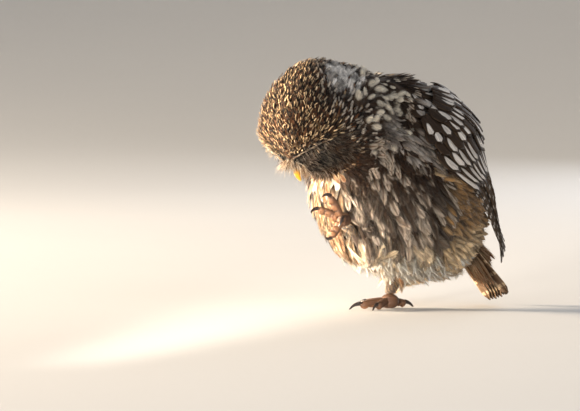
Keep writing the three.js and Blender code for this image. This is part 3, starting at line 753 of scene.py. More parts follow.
def covert_outline(along):
    """Half width of a covert: full, with a broad round tip"""
    return np.maximum((0.5 + 0.5 * ease(0, 0.4, along)) * rounded(along, 0.66, 2.2), 0.1)


def surface_paths(surface, roots, normals, way, reach, low, high, curl, steps=4):
    """Paths over the surface from each root: places, normals and ways across, with the height rising"""
    place, heading = roots, way
    places, uprights, sides = [], [], []
    for step in range(steps + 1):
        share = step / steps
        beside = unit(np.cross(heading, normals))
        uprights.append(normals)
        sides.append(beside)
        places.append(place + normals * mix(low, high, share ** 1.15)[:, None])
        if step < steps:
            place, normals, _ = surface.nearest(place + heading * (reach / steps)[:, None])
            heading = heading + beside * (curl / steps)[:, None]
            heading = along_surface(heading, normals)
    return np.stack(places, 1), np.stack(uprights, 1), np.stack(sides, 1)


def free_paths(roots, normals, way, reach, droop, steps=4):
    """Paths that leave the surface from each root, straight but for a droop of the tip"""
    share = np.linspace(0, 1, steps + 1)[None, :, None]
    sides = unit(np.cross(way, normals))
    uprights = unit(np.cross(sides, way))
    fall = uprights * (droop * reach)[:, None]
    places = roots[:, None] + way[:, None] * reach[:, None, None] * share - fall[:, None] * share ** 2
    shape = places.shape
    return places, np.broadcast_to(uprights[:, None], shape), np.broadcast_to(sides[:, None], shape)


def laid(paths, template, width):
    """Copies of a template along paths: all points as an array of feathers by points"""
    places, uprights, sides = paths
    points, _ = template
    steps = places.shape[1] - 1
    at = np.clip(points[:, 1], 0, 1.06) * steps
    low = np.clip(at.astype(int), 0, steps - 1)
    share = (at - low)[None, :, None]
    half = (width / 2)[:, None, None]

    def read(rows):
        return rows[:, low] * (1 - share) + rows[:, low + 1] * share

    off = read(sides) * points[None, :, 0, None] + read(uprights) * points[None, :, 2, None]
    return read(places) + off * half


def coat(name, groups, flip=1, cell=lambda own, height: (own - 0.5) * PATCH):
    """One mesh of many feathers. Each group holds paths, a template, widths, draws and places on the map,
    where each feather fills a cell. With flip -1 the mesh is mirrored"""
    points, faces, feather, bake, numbers, start = [], [], [], [], [], 0
    for paths, template, width, draw, corner in groups:
        count, size = len(width), len(template[0])
        points.append(laid(paths, template, width).reshape(-1, 3))
        faces.append((template[1][None] + (np.arange(count) * size)[:, None, None] + start).reshape(-1, 3))
        own = np.stack([template[0][:, 0] / 2 + 0.5, template[0][:, 1]], 1)
        feather.append(np.tile(own, (count, 1)))
        bake.append((corner[:, None] + cell(own, template[0][:, 2])[None]).reshape(-1, 2))
        numbers.append(np.repeat(draw, size, 0))
        start += count * size
    obj = mesh_from(name, np.concatenate(points) * (flip, 1, 1), np.concatenate(faces)[:, ::flip])
    add_uv(obj, "OFBake", np.concatenate(bake))
    add_uv(obj, "feather", np.concatenate(feather))
    add_numbers(obj, "draw", np.concatenate(numbers))
    return obj


# Materials

class Value:
    """An output of a node, whose arithmetic adds Math nodes"""

    def __init__(self, graph, socket):
        self.graph = graph
        self.socket = socket

    def __add__(self, other):
        return self.graph.math("ADD", self, other)

    def __sub__(self, other):
        return self.graph.math("SUBTRACT", self, other)

    def __rsub__(self, other):
        return self.graph.math("SUBTRACT", other, self)

    def __mul__(self, other):
        return self.graph.math("MULTIPLY", self, other)

    def __truediv__(self, other):
        return self.graph.math("DIVIDE", self, other)

    def __abs__(self):
        return self.graph.math("ABSOLUTE", self)

    __radd__ = __add__
    __rmul__ = __mul__

    def ease(self, low, high):
        """Smooth step from 0 at low to 1 at high"""
        settings = {"interpolation_type": "SMOOTHSTEP"}
        return self.graph.add("MapRange", settings, {0: self, 1: low, 2: high})


class Graph:
    """The nodes of one material"""

    def __init__(self, name):
        self.material = bpy.data.materials.new(name)
        self.material.use_nodes = True
        self.tree = self.material.node_tree
        self.tree.nodes.clear()

    def add(self, kind, settings=None, inputs=None, output=0):
        """Adds a node, with its settings and the values or links of its sockets, and gives an output"""
        node = self.tree.nodes.new("ShaderNode" + kind)
        for key, value in (settings or {}).items():
            setattr(node, key, value)
        for key, value in (inputs or {}).items():
            if isinstance(value, Value):
                self.tree.links.new(value.socket, node.inputs[key])
            else:
                node.inputs[key].default_value = value
        return Value(self, node.outputs[output])

    def math(self, operation, *values):
        """A Math node"""
        return self.add("Math", {"operation": operation}, dict(enumerate(values)))

    def split(self, vector):
        """The three numbers of a vector"""
        node = self.add("SeparateXYZ", None, {0: vector}).socket.node
        return [Value(self, output) for output in node.outputs]

    def join(self, x, y, z=0.0):
        """A vector from three numbers"""
        return self.add("CombineXYZ", None, {0: x, 1: y, 2: z})

    def blend(self, share, first, second):
        """A colour between two others"""
        both = {0: share, 6: opaque(first), 7: opaque(second)}
        return self.add("Mix", {"data_type": "RGBA"}, both, output=2)

    def shade(self, tint, amount):
        """A colour made darker or lighter"""
        return self.add("VectorMath", {"operation": "SCALE"}, {0: plain(tint), 3: amount})

    def noise(self, vector, scale, detail=2.0):
        """Soft noise from 0 to 1"""
        return self.add("TexNoise", None, {"Vector": vector, "Scale": scale, "Detail": detail})

    def place(self):
        """Object coordinates"""
        return self.add("TexCoord", output="Object")

    def surface(self, tint, roughness, height=None, strength=0.3, distance=0.0003, **constants):
        """Ends the graph in a Principled shader, and gives the material"""
        inputs = {"Base Color": opaque(tint), "Roughness": roughness}
        inputs.update({key.replace("_", " "): value for key, value in constants.items()})
        if height is not None:
            bump = {"Height": height, "Strength": strength, "Distance": distance}
            inputs["Normal"] = self.add("Bump", None, bump)
        shader = self.add("BsdfPrincipled", None, inputs)
        self.add_output(shader)
        return self.material

    def add_output(self, shader):
        """Links a shader to the material's output"""
        node = self.tree.nodes.new("ShaderNodeOutputMaterial")
        self.tree.links.new(shader.socket, node.inputs["Surface"])


def opaque(tint):
    """A colour with its alpha, or a link as it is"""
    return tint if isinstance(tint, Value) else (*tuple(tint)[:3], 1.0)


def plain(tint):
    """A colour without alpha, or a link as it is"""
    return tint if isinstance(tint, Value) else tuple(tint)[:3]


class Feather(Graph):
    """The nodes of a feather's material: its own coordinates, its draws and fine lines along its barbs"""

    def __init__(self, name, fineness):
        super().__init__(name)
        across, self.along, _ = self.split(self.add("UVMap", {"uv_map": "feather"}))
        self.across = (across - 0.5) * 2
        draw = self.add("Attribute", {"attribute_name": "draw"}, output="Vector")
        self.tone, self.shift, self.region = self.split(draw)
        lines = self.join(self.across * fineness, self.along * 3 - abs(self.across) * 4, self.tone * 50)
        self.hairs = self.noise(lines, 1.0)

    def stripe(self, half, fade=0.12):
        """One along the shaft and 0 beside it"""
        return 1 - (abs(self.across) - half).ease(0, fade)

    def finished(self, tint, roughness=0.72, depth=0.0006, glow=0.2):
        """The material, with each feather a little lighter or darker, its barbs raised, and some light
        that passes through to a depth"""
        varied = self.tone * 0.3 + self.hairs.ease(0.32, 0.68) * 0.55 + 0.55
        return self.surface(self.shade(tint, varied), roughness, self.hairs, 0.35, 0.0002, Sheen_Weight=0.1,
                            Sheen_Roughness=0.4, Specular_IOR_Level=0.2, Subsurface_Weight=glow,
                            Subsurface_Radius=(1.0, 0.8, 0.6), Subsurface_Scale=depth)


def colours():
    """The scene's colours"""
    return bpy.context.scene.owl_colours


def crown_finish():
    """Brown with a tan fleck on each feather, grey ovals at the rear and a pale patch, with painted shade
    at the roots and over the sides and rear
    """
    tints = colours()
    mark = Feather("crown plumage", 16.0)
    rear = mark.region.ease(0.0, 1.0)
    patch = mark.region.ease(1.0, 2.0)
    # Painted shade: each feather darkens towards its root, where the feathers above would shade it
    ground = mark.blend(mark.along.ease(0.5, 1.0), tints.crown_root_shade, tints.crown)
    ground = mark.blend(rear * 0.6, ground, tints.back)
    fleck = mark.stripe(0.06 + mark.tone * 0.16 + rear * 0.26, 0.22) * mark.along.ease(0.45, 0.6)
    fleck = fleck * (1 - mark.along.ease(0.84, 0.97)) * mark.shift.ease(0.25, 0.5)
    spot = mark.blend(rear, tints.crown_spot, tints.rear_spot)
    tint = mark.blend(fleck, ground, spot)
    tint = mark.blend(patch * mark.along.ease(0.1, 0.5), tint, tints.pale_patch)
    patches = mark.noise(mark.place(), 130.0).ease(0.35, 0.65)
    # Random patches lighter and darker, and painted shade that darkens the sides and rear of the crown a
    # little
    return mark.finished(mark.shade(tint, patches * 0.75 + 0.5 - rear * 0.1), depth=0.0)


def brow_finish():
    """Ochre and tan feathers of the brows, darker at the roots as painted shade"""
    tints = colours()
    mark = Feather("brow plumage", 12.0)
    # Painted shade: darker towards the root, under the feathers above
    ground = mark.blend(mark.along.ease(0.3, 0.9), tints.crown_root_shade, tints.brow)
    fleck = mark.stripe(0.2, 0.25) * mark.along.ease(0.5, 0.7) * mark.shift.ease(0.3, 0.6)
    tint = mark.blend(fleck * 0.8, ground, tints.crown_spot)
    return mark.finished(tint)


def lash_finish():
    """Dark barbs that hang from the brows, with pale ones between them"""
    tints = colours()
    mark = Feather("lashes", 16.0)
    # The dark barbs take the face's colour, which holds painted shade from the brows
    tint = mark.blend(mark.along.ease(0.35, 0.7) * mark.shift.ease(0.66, 0.76), tints.face, tints.lash)
    return mark.finished(tint, depth=0.0)


def nape_finish():
    """Grey brown with a large pale blotch on each feather, smaller towards the back"""
    tints = colours()
    mark = Feather("nape plumage", 14.0)
    wide = 0.72 - mark.region * 0.3
    across = (mark.across - (mark.shift - 0.5) * 0.5) / wide
    along = (mark.along - 0.78) / (0.21 + mark.tone * 0.16 - mark.region * 0.1)
    blotch = 1 - (across * across + along * along + (mark.hairs - 0.5) * 2.2).ease(0.3, 1.4)
    ground = mark.blend(mark.region, tints.nape, tints.back)
    tint = mark.blend(blotch * 0.95, ground, tints.nape_spot)
    return mark.finished(tint)


def back_finish():
    """Dark brown with a pale teardrop near the tip of each feather"""
    tints = colours()
    mark = Feather("back plumage", 11.0)
    edge = abs(mark.across).ease(0.7, 1.0) * 0.25
    ground = mark.blend(edge, tints.back, tints.back_edge)
    wide = mark.along.ease(0.2, 0.7) * (0.42 + mark.tone * 0.2) * mark.region
    half = wide * (1 - mark.along.ease(0.82, 0.95))
    drop = 1 - (abs(mark.across - (mark.shift - 0.5) * 0.5) - half).ease(-0.06, 0.05)
    drop = drop * mark.along.ease(0.3, 0.42) * mark.shift.ease(0.16, 0.18)
    shaft = mark.stripe(0.015, 0.03)
    tint = mark.blend(drop, ground, tints.back_spot)
    tint = mark.blend(shaft * 0.4, tint, tints.streak)
    return mark.finished(tint, 0.6)


def flight_finish():
    """Dark brown with rows of pale spots on both webs"""
    tints = colours()
    mark = Feather("flight plumage", 12.0)
    rows = mark.math("PINGPONG", mark.along * mark.region + mark.shift * 0.3, 0.5)
    bars = rows.ease(0.3, 0.4) * abs(mark.across).ease(0.5, 0.65) * mark.shift.ease(0.2, 0.5)
    ground = mark.blend(abs(mark.across).ease(0.82, 1.0) * 0.7, tints.back, tints.back_edge)
    tint = mark.blend(bars * 0.6, ground, tints.back_spot)
    tint = mark.blend(mark.stripe(0.03, 0.03) * 0.6, tint, tints.streak)
    return mark.finished(tint, 0.55)


def tail_finish():
    """Brown with soft buff bars and pale edges"""
    tints = colours()
    mark = Feather("tail plumage", 12.0)
    rows = mark.math("PINGPONG", mark.along * mark.region + mark.shift * 0.1, 0.5)
    wave = abs(mark.across) * 0.06
    bars = (rows - wave).ease(0.3, 0.38) * abs(mark.across).ease(0.12, 0.3)
    tint = mark.blend(bars * 0.7, tints.tail, tints.tail_bar)
    tint = mark.blend(abs(mark.across).ease(0.8, 1.0) * 0.6, tint, tints.tail_bar)
    tint = mark.blend(mark.stripe(0.04, 0.05) * 0.7, tint, tints.streak)
    return mark.finished(tint, 0.6)


def breast_finish():
    """Cream with a rust streak, and painted shade at the roots"""
    tints = colours()
    mark = Feather("breast plumage", 14.0)
    half = mark.along.ease(0.3, 0.75) * 0.3 - mark.along.ease(0.8, 1.0) * 0.3
    streak = mark.stripe(half, 0.16) * mark.along.ease(0.3, 0.5) * mark.shift.ease(0.2, 0.4)
    # Painted shade: darker towards the root, under the feathers above
    ground = mark.blend(mark.along.ease(0.1, 0.55), tints.flank_streak_and_root_shade, tints.breast)
    tint = mark.blend(streak * 0.85, ground, tints.rust)
    return mark.finished(tint)


def flank_finish():
    """Grey feathers, cream low down, with painted shade at the roots, and streaks that run on from feather
    to feather
    """
    tints = colours()
    mark = Feather("flank plumage", 18.0)
    x, y, z = mark.split(mark.place())
    flow = mark.join(x * 105, (y + z * 0.55) * 105, z * 32)
    streaks = (mark.noise(flow, 1.0, 1.0) - mark.region * 0.06).ease(0.455, 0.525)
    pale = mark.blend(mark.region.ease(0.0, 1.0), tints.flank, tints.flank_low)
    middle = mark.blend(mark.shift, tints.streak, tints.flank_soft)
    half = 0.36 - mark.along.ease(0.5, 0.95) * 0.36
    shaft = mark.stripe(half * mark.tone, 0.2)
    # Painted shade: darker towards the root, under the feathers above
    root = 1 - mark.along.ease(0.35, 0.7)
    # Fewer streaks and less painted root shade low down, and more beside the neck, where a region below 0
    # paints the head's shadow
    strength = 1 - mark.region * 0.6
    tint = mark.blend(shaft * strength * 0.7, pale, middle)
    tint = mark.blend(streaks * strength * 0.85, tint, tints.flank_streak_and_root_shade)
    tint = mark.blend(root * strength * 0.9, tint, tints.flank_streak_and_root_shade)
    return mark.finished(tint)


def fluff_finish():
    """Loose brown feathers with tan and cream ends, grey beside the neck, darker at the roots as painted
    shade
    """
    tints = colours()
    mark = Feather("flank fluff", 20.0)
    ends = mark.blend(mark.region.ease(0.0, 1.0), tints.fluff, tints.fluff_pale)
    ends = mark.blend(mark.region.ease(1.0, 2.0), ends, tints.wisp)
    # Painted shade: darker towards the roots, under the feathers above; beside the neck the ends show less
    share = mark.along.ease(0.2, 0.75) * (mark.shift * 0.5 + 0.6 - mark.region.ease(1.0, 2.0) * 0.3)
    tint = mark.blend(share, tints.fluff_root_shade, ends)
    patches = mark.noise(mark.place(), 60.0).ease(0.35, 0.65)
    tint = mark.shade(tint, patches * 0.6 + 0.7)
    return mark.finished(tint, depth=0.0015)


def belly_finish():
    """Cream down with a few brown marks, tan on the legs"""
    tints = colours()
    mark = Feather("belly down", 20.0)
    ground = mark.blend(mark.region, tints.fluff, tints.belly)
    tint = mark.blend(mark.shift.ease(0.85, 0.95) * 0.4 * mark.region, ground, tints.fluff)
    return mark.finished(tint, depth=0.002, glow=0.7)


def face_finish():
    """Dark bristles with pale fans, paler round the bill, ochre at the lower rim, grey at the outer edge;
    the dark is partly painted shade from the brows, and deepens towards the roots as painted shade
    """
    tints = colours()
    mark = Feather("face bristles", 16.0)
    dark = mark.blend(mark.region.ease(1.0, 2.0), tints.face, tints.face_rim)
    dark = mark.blend(mark.region.ease(2.4, 3.0) * mark.shift.ease(0.4, 0.8) * 0.4, dark, tints.lash)
    fans = mark.noise(mark.place(), 170.0).ease(0.5, 0.58)
    dark = mark.blend(fans * mark.tone.ease(0.55, 0.65) * 0.6, dark, tints.face_pale)
    share = mark.region.ease(0.0, 1.0)
    pale = (1 - share + (mark.shift - 0.5) * 1.7).ease(0.45, 0.7)
    tint = mark.blend(pale, dark, tints.face_pale)
    # Painted shade: the bristles darken to near black at their roots
    tint = mark.shade(tint, mark.along.ease(0.2, 0.8) * 0.62 + 0.03)
    return mark.finished(tint, depth=0.0)


def bristle_finish():
    """Tan and pale bristles beside the bill, a few of them dark"""
    tints = colours()
    mark = Feather("bristles", 6.0)
    tint = mark.blend(mark.shift.ease(0.3, 0.8), tints.bristle, tints.face_pale)
    tint = mark.blend(1 - mark.tone.ease(0.25, 0.35), tint, tints.claw)
    return mark.finished(tint)


def skin_finish():
    """Skin and down under the feathers, with the markings of the coat above"""
    tints = colours()
    graph = Graph("skin and down")
    crown, pale, dark = graph.split(graph.add("Attribute", {"attribute_name": "plumage"}, output="Vector"))
    place = graph.place()
    mottle = graph.noise(place, 260.0).ease(0.52, 0.6)
    tint = graph.blend(crown, tints.skin, tints.crown)
    tint = graph.blend(mottle * crown * 0.5, tint, tints.crown_spot)
    tint = graph.blend(pale, tint, tints.belly)
    tint = graph.blend(dark, tint, tints.back)
    down = graph.noise(place, 900.0, 4.0)
    return graph.surface(tint, 0.85, down, 0.5, 0.0006, Sheen_Weight=0.2)


def horn_finish(name, base, tip, low, high, gloss):
    """Horn that changes colour along the piece's own length"""
    graph = Graph(name)
    along, around, _ = graph.split(graph.add("UVMap", {"uv_map": "length"}))
    streaks = graph.noise(graph.join(along * 2, around * 30), 1.0)
    tint = graph.blend(along.ease(low, high), base, tip)
    tint = graph.shade(tint, streaks * 0.4 + 0.8)
    return graph.surface(tint, gloss + streaks * 0.1, streaks, 0.15, 0.0002, Coat_Weight=0.4)


def toe_finish():
    """Warty orange-brown skin, paler on the pads"""
    tints = colours()
    graph = Graph("toe skin")
    place = graph.place()
    cells = graph.add("TexVoronoi", None, {"Vector": place, "Scale": 1400.0}, output="Distance")
    patches = graph.noise(place, 300.0)
    pad, _, _ = graph.split(graph.add("UVMap", {"uv_map": "pads"}))
    tint = graph.blend(pad.ease(0.3, 0.8) * 0.75, tints.toe, tints.pad)
    tint = graph.shade(tint, patches * 0.7 + 0.55)
    warts = 1 - cells.ease(0.0, 0.7)
    return graph.surface(tint, 0.5 + patches * 0.2, warts, 0.55, 0.0004)


def eye_finish(side):
    """A yellow iris with streaks round a black pupil, wet all over"""
    tints = colours()
    graph = Graph(f"eye {side}")
    turned, _, _ = graph.split(graph.add("UVMap", {"uv_map": "length"}))
    rays = graph.noise(graph.place(), 1500.0, 3.0)
    tint = graph.blend(rays * 0.5, tints.iris, tints.bill_root)
    tint = graph.blend(turned.ease(0.29, 0.32), tint, (0.02, 0.017, 0.015))
    tint = graph.blend(1 - turned.ease(0.125, 0.14), tint, (0.0, 0.0, 0.0))
    return graph.surface(tint, 0.08, Coat_Weight=1.0, Coat_Roughness=0.03)


def lid_finish():
    """Grey-brown skin with a dark rim"""
    tints = colours()
    graph = Graph("lid skin")
    along, around, _ = graph.split(graph.add("UVMap", {"uv_map": "length"}))
    folds = graph.noise(graph.join(along * 30, around * 6), 1.0)
    tint = graph.blend(1 - along.ease(0.0, 0.16), tints.lid, tints.claw)
    tint = graph.shade(tint, folds * 0.6 + 0.6)
    return graph.surface(tint, 0.6, folds, 0.5, 0.0005)


def floor_finish():
    """Plain pale floor"""
    graph = Graph("pale floor")
    grain = graph.noise(graph.place(), 3.0)
    tint = graph.shade(colours().floor, grain * 0.04 + 0.98)
    return graph.surface(tint, 0.8)


# Pieces

class OWL_OT_skin(bpy.types.Operator):
    """One skin under the feathers, made from copies of the solids of flesh"""

    bl_idname = "owl.skin"
    bl_label = "Skin"

    def execute(self, context):
        sizes = context.scene.owl_sizes
        deselect()
        for name in FLESH:
            frame["nodes"][name].select_set(True)
        context.view_layer.objects.active = frame["nodes"]["torso"]
        bpy.ops.object.duplicate()
        copies = list(context.selected_objects)
        for copy in copies:
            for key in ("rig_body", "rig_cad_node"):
                del copy[key]
        context.view_layer.objects.active = copies[0]
        bpy.ops.object.join()
        skin = named("skin")
        skin.parent = None
        self.close(skin, sizes)
        self.sink(skin, sizes)
        self.unwrap(skin)
        points, _ = corners_of(skin.data)
        marks = np.stack([on_head(points) * (1 - on_face(points)),
                          np.maximum(on_belly(points), on_breast(points)),
                          on_back(points)], 1)
        add_numbers(skin, "plumage", marks)
        finish(skin, skin_finish(), "breast_feathers", *FLESH)
        return {"FINISHED"}

    def close(self, skin, sizes):
        """Merges the copies into one closed surface with even faces"""
        edit_all(merge(0.01 * MM))
        skin.data.materials.clear()
        apply_modifier(skin, "DISPLACE", strength=0.3 * MM, mid_level=0)
        apply_modifier(skin, "REMESH", mode="VOXEL", voxel_size=sizes.skin_grain)
        apply_modifier(skin, "SMOOTH", iterations=3, factor=0.5)

    def sink(self, skin, sizes):
        """Draws the skin in by the depth of the coat above it"""
        points, _ = corners_of(skin.data)
        depth = mix(sizes.body_depth, sizes.head_depth, on_head(points))
        depth = mix(depth, sizes.face_depth, on_face(points))
        depth = mix(depth, sizes.leg_depth, on_leg(points))
        normals = np.empty(points.size)
        skin.data.vertices.foreach_get("normal", normals)
        put_points(skin, points - normals.reshape(-1, 3) * depth[:, None])
        apply_modifier(skin, "SMOOTH", iterations=4, factor=0.5)
        bpy.ops.object.shade_smooth()

    def unwrap(self, skin):
        """Lays the skin out flat by its own shape"""
        edit_all(bpy.ops.mesh.uv_texture_add,
                 lambda: bpy.ops.uv.smart_project(angle_limit=math.radians(66), island_margin=0.01))
        skin.data.uv_layers.active.name = "OFBake"


def feather_group(surface, roots, kind, draws):
    """One group of feathers of a kind on the surface: reach, width, low and high are in millimetres"""
    spots, normals, unwrap = surface.nearest(roots)
    count = len(roots)
    way = lie(spots, normals) + np.array(kind.get("sweep", (0, 0, 0)))
    way = along_surface(way, normals)
    sideways = np.cross(normals, way)
    way = unit(way + sideways * draws.normal(0, kind["stray"], count)[:, None])
    size = value_at(kind.get("size", 1), spots)
    reach = lengths(draws, kind["reach"], count) * size
    width = lengths(draws, kind["width"], count) * size
    low = np.full(count, kind["low"] * MM)
    high = lengths(draws, kind["high"], count) * value_at(kind.get("rise", 1), spots)
    paths = surface_paths(surface, spots, normals, way, reach, low, high, draws.normal(0, 0.35, count))
    numbers = numbers_of(draws, value_at(kind.get("region", 0), spots), count)
    smooth = runs_smoothly(paths, reach)
    return tuple(part[smooth] for part in paths), width[smooth], numbers[smooth], unwrap[smooth]


def runs_smoothly(paths, reach):
    """Which paths have no fold and no jump"""
    places, uprights, _ = paths
    steps = np.diff(places, axis=1)
    length = np.linalg.norm(steps, axis=2)
    even_steps = length.max(1) < 2.0 * reach / steps.shape[1]
    bends = (uprights[:, 1:] * uprights[:, :-1]).sum(2).min(1)
    return even_steps & (bends > 0.3)


def grow(name, surface, seed, material, slot, **kind):
    """A piece of the coat: feathers of one kind, from several templates, wherever its weight is high"""
    draws = np.random.default_rng(seed)
    weight = kind["weight"]

    def gap(places):
        return np.where(weight(places) > 0.04, value_at(kind["gap"], places) * MM, 0)

    roots = surface.scatter(gap, seed, kind.get("stretch", 1.0))
    roots = roots[draws.random(len(roots)) < weight(roots) * 2]
    paths, width, numbers, unwrap = feather_group(surface, roots, kind, draws)
    pick = draws.integers(0, len(kind["templates"]), len(width))
    groups = []
    for index, template in enumerate(kind["templates"]):
        own = pick == index
        groups.append((tuple(part[own] for part in paths), template, width[own], numbers[own], unwrap[own]))
    finish(coat(name, groups), material, slot)


def value_at(value, places):
    """A number, or what a function gives at these places"""
    return value(places) if callable(value) else np.full(len(places), float(value))


def lengths(draws, span, count):
    """Random lengths in metres from a span in millimetres"""
    return draws.uniform(*span, count) * MM


def numbers_of(draws, region, count):
    """For each feather two random numbers and its region"""
    return np.column_stack([draws.random(count), draws.random(count), np.broadcast_to(region, count)])


def templates_of(make, count, seed, *values):
    """Several variants of one kind of template"""
    return [make(*values, np.random.default_rng(seed + index)) for index in range(count)]


def skin_surface():
    """The skin as a surface that feathers grow on"""
    return Surface(bpy.data.objects["skin"])


def one_side(weight, side):
    """A weight on the left of the body, with side 1, or on its right, with side -1"""
    return lambda places: weight(places) * (places[:, 0] * side > 0)


def height_of(places):
    """Heights in millimetres"""
    return places[:, 2] / MM


def neck_size(places):
    """Feathers of the throat and the sides of the neck are smaller than those of the body"""
    return mix(1, 0.6, ease(78, 108, height_of(places)))


class OWL_OT_head_coat(bpy.types.Operator):
    """Small feathers of the crown, brows and nape, and bristles of the face"""

    bl_idname = "owl.head_coat"
    bl_label = "Head coat"

    def execute(self, context):
        surface = skin_surface()
        grow("coat_crown", surface, 1, crown_finish(), "crown_feathers", weight=on_crown,
             templates=templates_of(soft_feather, 4, 10, 5, 0.09, (5, 4), 0.5, 0.4),
             gap=lambda places: mix(1.6, 2.45, crown_rear(places)),
             size=lambda places: mix(1.0, 1.45, crown_rear(places)) * mix(1, 1.6, pale_patch(places)),
             region=lambda places: crown_rear(places) + pale_patch(places),
             reach=(5, 7.8), width=(1.7, 2.7), low=0.2, high=(1.6, 4.0), stray=0.25)
        grow("coat_nape", surface, 2, nape_finish(), "nape_feathers", weight=on_nape, region=neck_top,
             templates=templates_of(soft_feather, 5, 20, 22, 0.03, (6, 5), 0.6, 0.32),
             size=lambda places: mix(1, 0.75, neck_top(places)),
             rise=lambda places: mix(1, 0.7, neck_top(places)),
             gap=4.0, reach=(11, 18), width=(5, 10), low=0.4, high=(3.2, 6.8), stray=0.5)
        grow("coat_face", surface, 3, face_finish(), "crown_feathers", weight=on_face, region=self.regions,
             templates=templates_of(plume, 4, 30, 5, 0.13, 0.34),
             size=lambda places: mix(0.45, 1, ease(7, 13, self.from_bill(places))),
             gap=1.15, reach=(5.5, 10.5), width=(1.8, 3.2), low=0.1, high=(1.0, 4.2), stray=0.16)
        grow("coat_brows", surface, 4, brow_finish(), "crown_feathers", weight=on_brow,
             templates=templates_of(soft_feather, 3, 33, 5, 0.08, (5, 4), 0.5, 0.34),
             gap=1.6, reach=(6, 9), width=(1.6, 2.4), low=0.8, high=(3.6, 5.6), stray=0.18)
        self.lashes(surface)
        self.brow_lines(surface)
        self.bristles(surface)
        return {"FINISHED"}

    def from_bill(self, places):
        """Distance from the root of the bill in millimetres"""
        return np.linalg.norm(into_head(places) - BILL_ROOT, axis=1)

    def regions(self, places):
        """Pale 0 round the bill, dark 1 under the brows, ochre 2 at the lower rim, grey 3 at the edge"""
        local = into_head(places)
        rim = ease(11, 18, -local[:, 2])
        outer = ease(21, 27, np.abs(local[:, 0])) * (1 - rim)
        return ease(5, 13, self.from_bill(places)) + rim + 2 * outer

    def standing(self, name, surface, draws, material, start, aim, template, reach, droop, width, stray):
        """Tufts that leave the surface: each starts at the skin nearest to a point and aims its own way"""
        spots, normals, unwrap = surface.nearest(out_of_head(start))
        count = len(start)
        way = unit(aim + draws.normal(0, stray, (count, 3))) @ HEAD_TURNED.T
        reach = lengths(draws, reach, count)
        paths = free_paths(spots, normals, way, reach, draws.uniform(*droop, count))
        width = lengths(draws, width, count)
        group = (paths, template, width, numbers_of(draws, 0, count), unwrap)
        finish(coat(name, [group]), material, "crown_feathers")

    def lashes(self, surface):
        """Barbs that hang from the brows over the eyes"""
        draws = np.random.default_rng(36)
        rows, columns = LASH_ROWS
        count = rows * columns * 2
        side = np.tile(np.repeat([-1.0, 1.0], columns), rows)
        share = np.tile(np.linspace(0, 1, columns), rows * 2) + draws.normal(0, 0.02, count)
        row = np.repeat(np.arange(rows), columns * 2)
        across = mix(4.5, 31, share)
        height = brow_height(across) - 1.5 + row * 1.2
        start = np.stack([across * side, self.before_head(across), height], 1)
        aim = np.stack([side * mix(0.3, 1.05, share), mix(-1, -0.55, share), np.full(count, -0.45)], 1)
        template = plume(3, 0.14, 0.4, draws)
        self.standing("coat_lashes", surface, draws, lash_finish(), start, aim, template,
                      reach=(6, 10), droop=(0.1, 0.3), width=(1.6, 2.6), stray=0.1)

    def before_head(self, across):
        """How far ahead of the head's middle a point lies that is just before the face"""
        return -40.0 + 24 * (across / 30) ** 2

    def brow_lines(self, surface):
        """A tan line of fine feathers along the lower edge of each brow"""
        draws = np.random.default_rng(37)
        count = BROW_LINE_TUFTS
        side = np.tile([-1.0, 1.0], count // 2)
        across = draws.uniform(3, 29, count)
        onward = 2.0
        places = [np.stack([far * side, self.before_head(far), brow_height(far) + 0.8], 1)
                  for far in (across, across + onward)]
        start, ahead = (surface.nearest(out_of_head(place)) for place in places)
        way = unit(ahead[0] - start[0])
        spots = start[0] + start[1] * draws.uniform(2.2, 3.4, count)[:, None] * MM
        way = unit(way + start[1] * 0.12 + draws.normal(0, 0.06, (count, 3)))
        paths = free_paths(spots, start[1], way, lengths(draws, (4, 6.5), count), np.full(count, 0.1))
        numbers = numbers_of(draws, 0, count)
        template = plume(5, 0.09, 0.5, draws)
        width = lengths(draws, (1.2, 2.0), count)
        piece = coat("coat_brow_lines", [(paths, template, width, numbers, start[2])])
        finish(piece, bristle_finish(), "crown_feathers")

    def bristles(self, surface):
        """Bristles beside the bill, some along it and some that stand out in front"""
        draws = np.random.default_rng(38)
        count = BRISTLES
        turn = draws.uniform(0, 2 * math.pi, count)
        far = draws.uniform(5.2, 10.5, count)
        start = np.stack([np.sin(turn) * far, np.full(count, -40.0), -1 + np.cos(turn) * far * 0.8], 1)
        out = draws.uniform(0.3, 0.95, count)
        aim = np.stack([np.sin(turn) * out, -1.0 + out * 0.3, -0.5 + np.cos(turn) * out * 0.5], 1)
        template = plume(5, 0.09, 1.0, draws)
        self.standing("coat_bristles", surface, draws, bristle_finish(), start, aim, template,
                      reach=(6, 16), droop=(0.0, 0.3), width=(2.0, 4.0), stray=0.14)


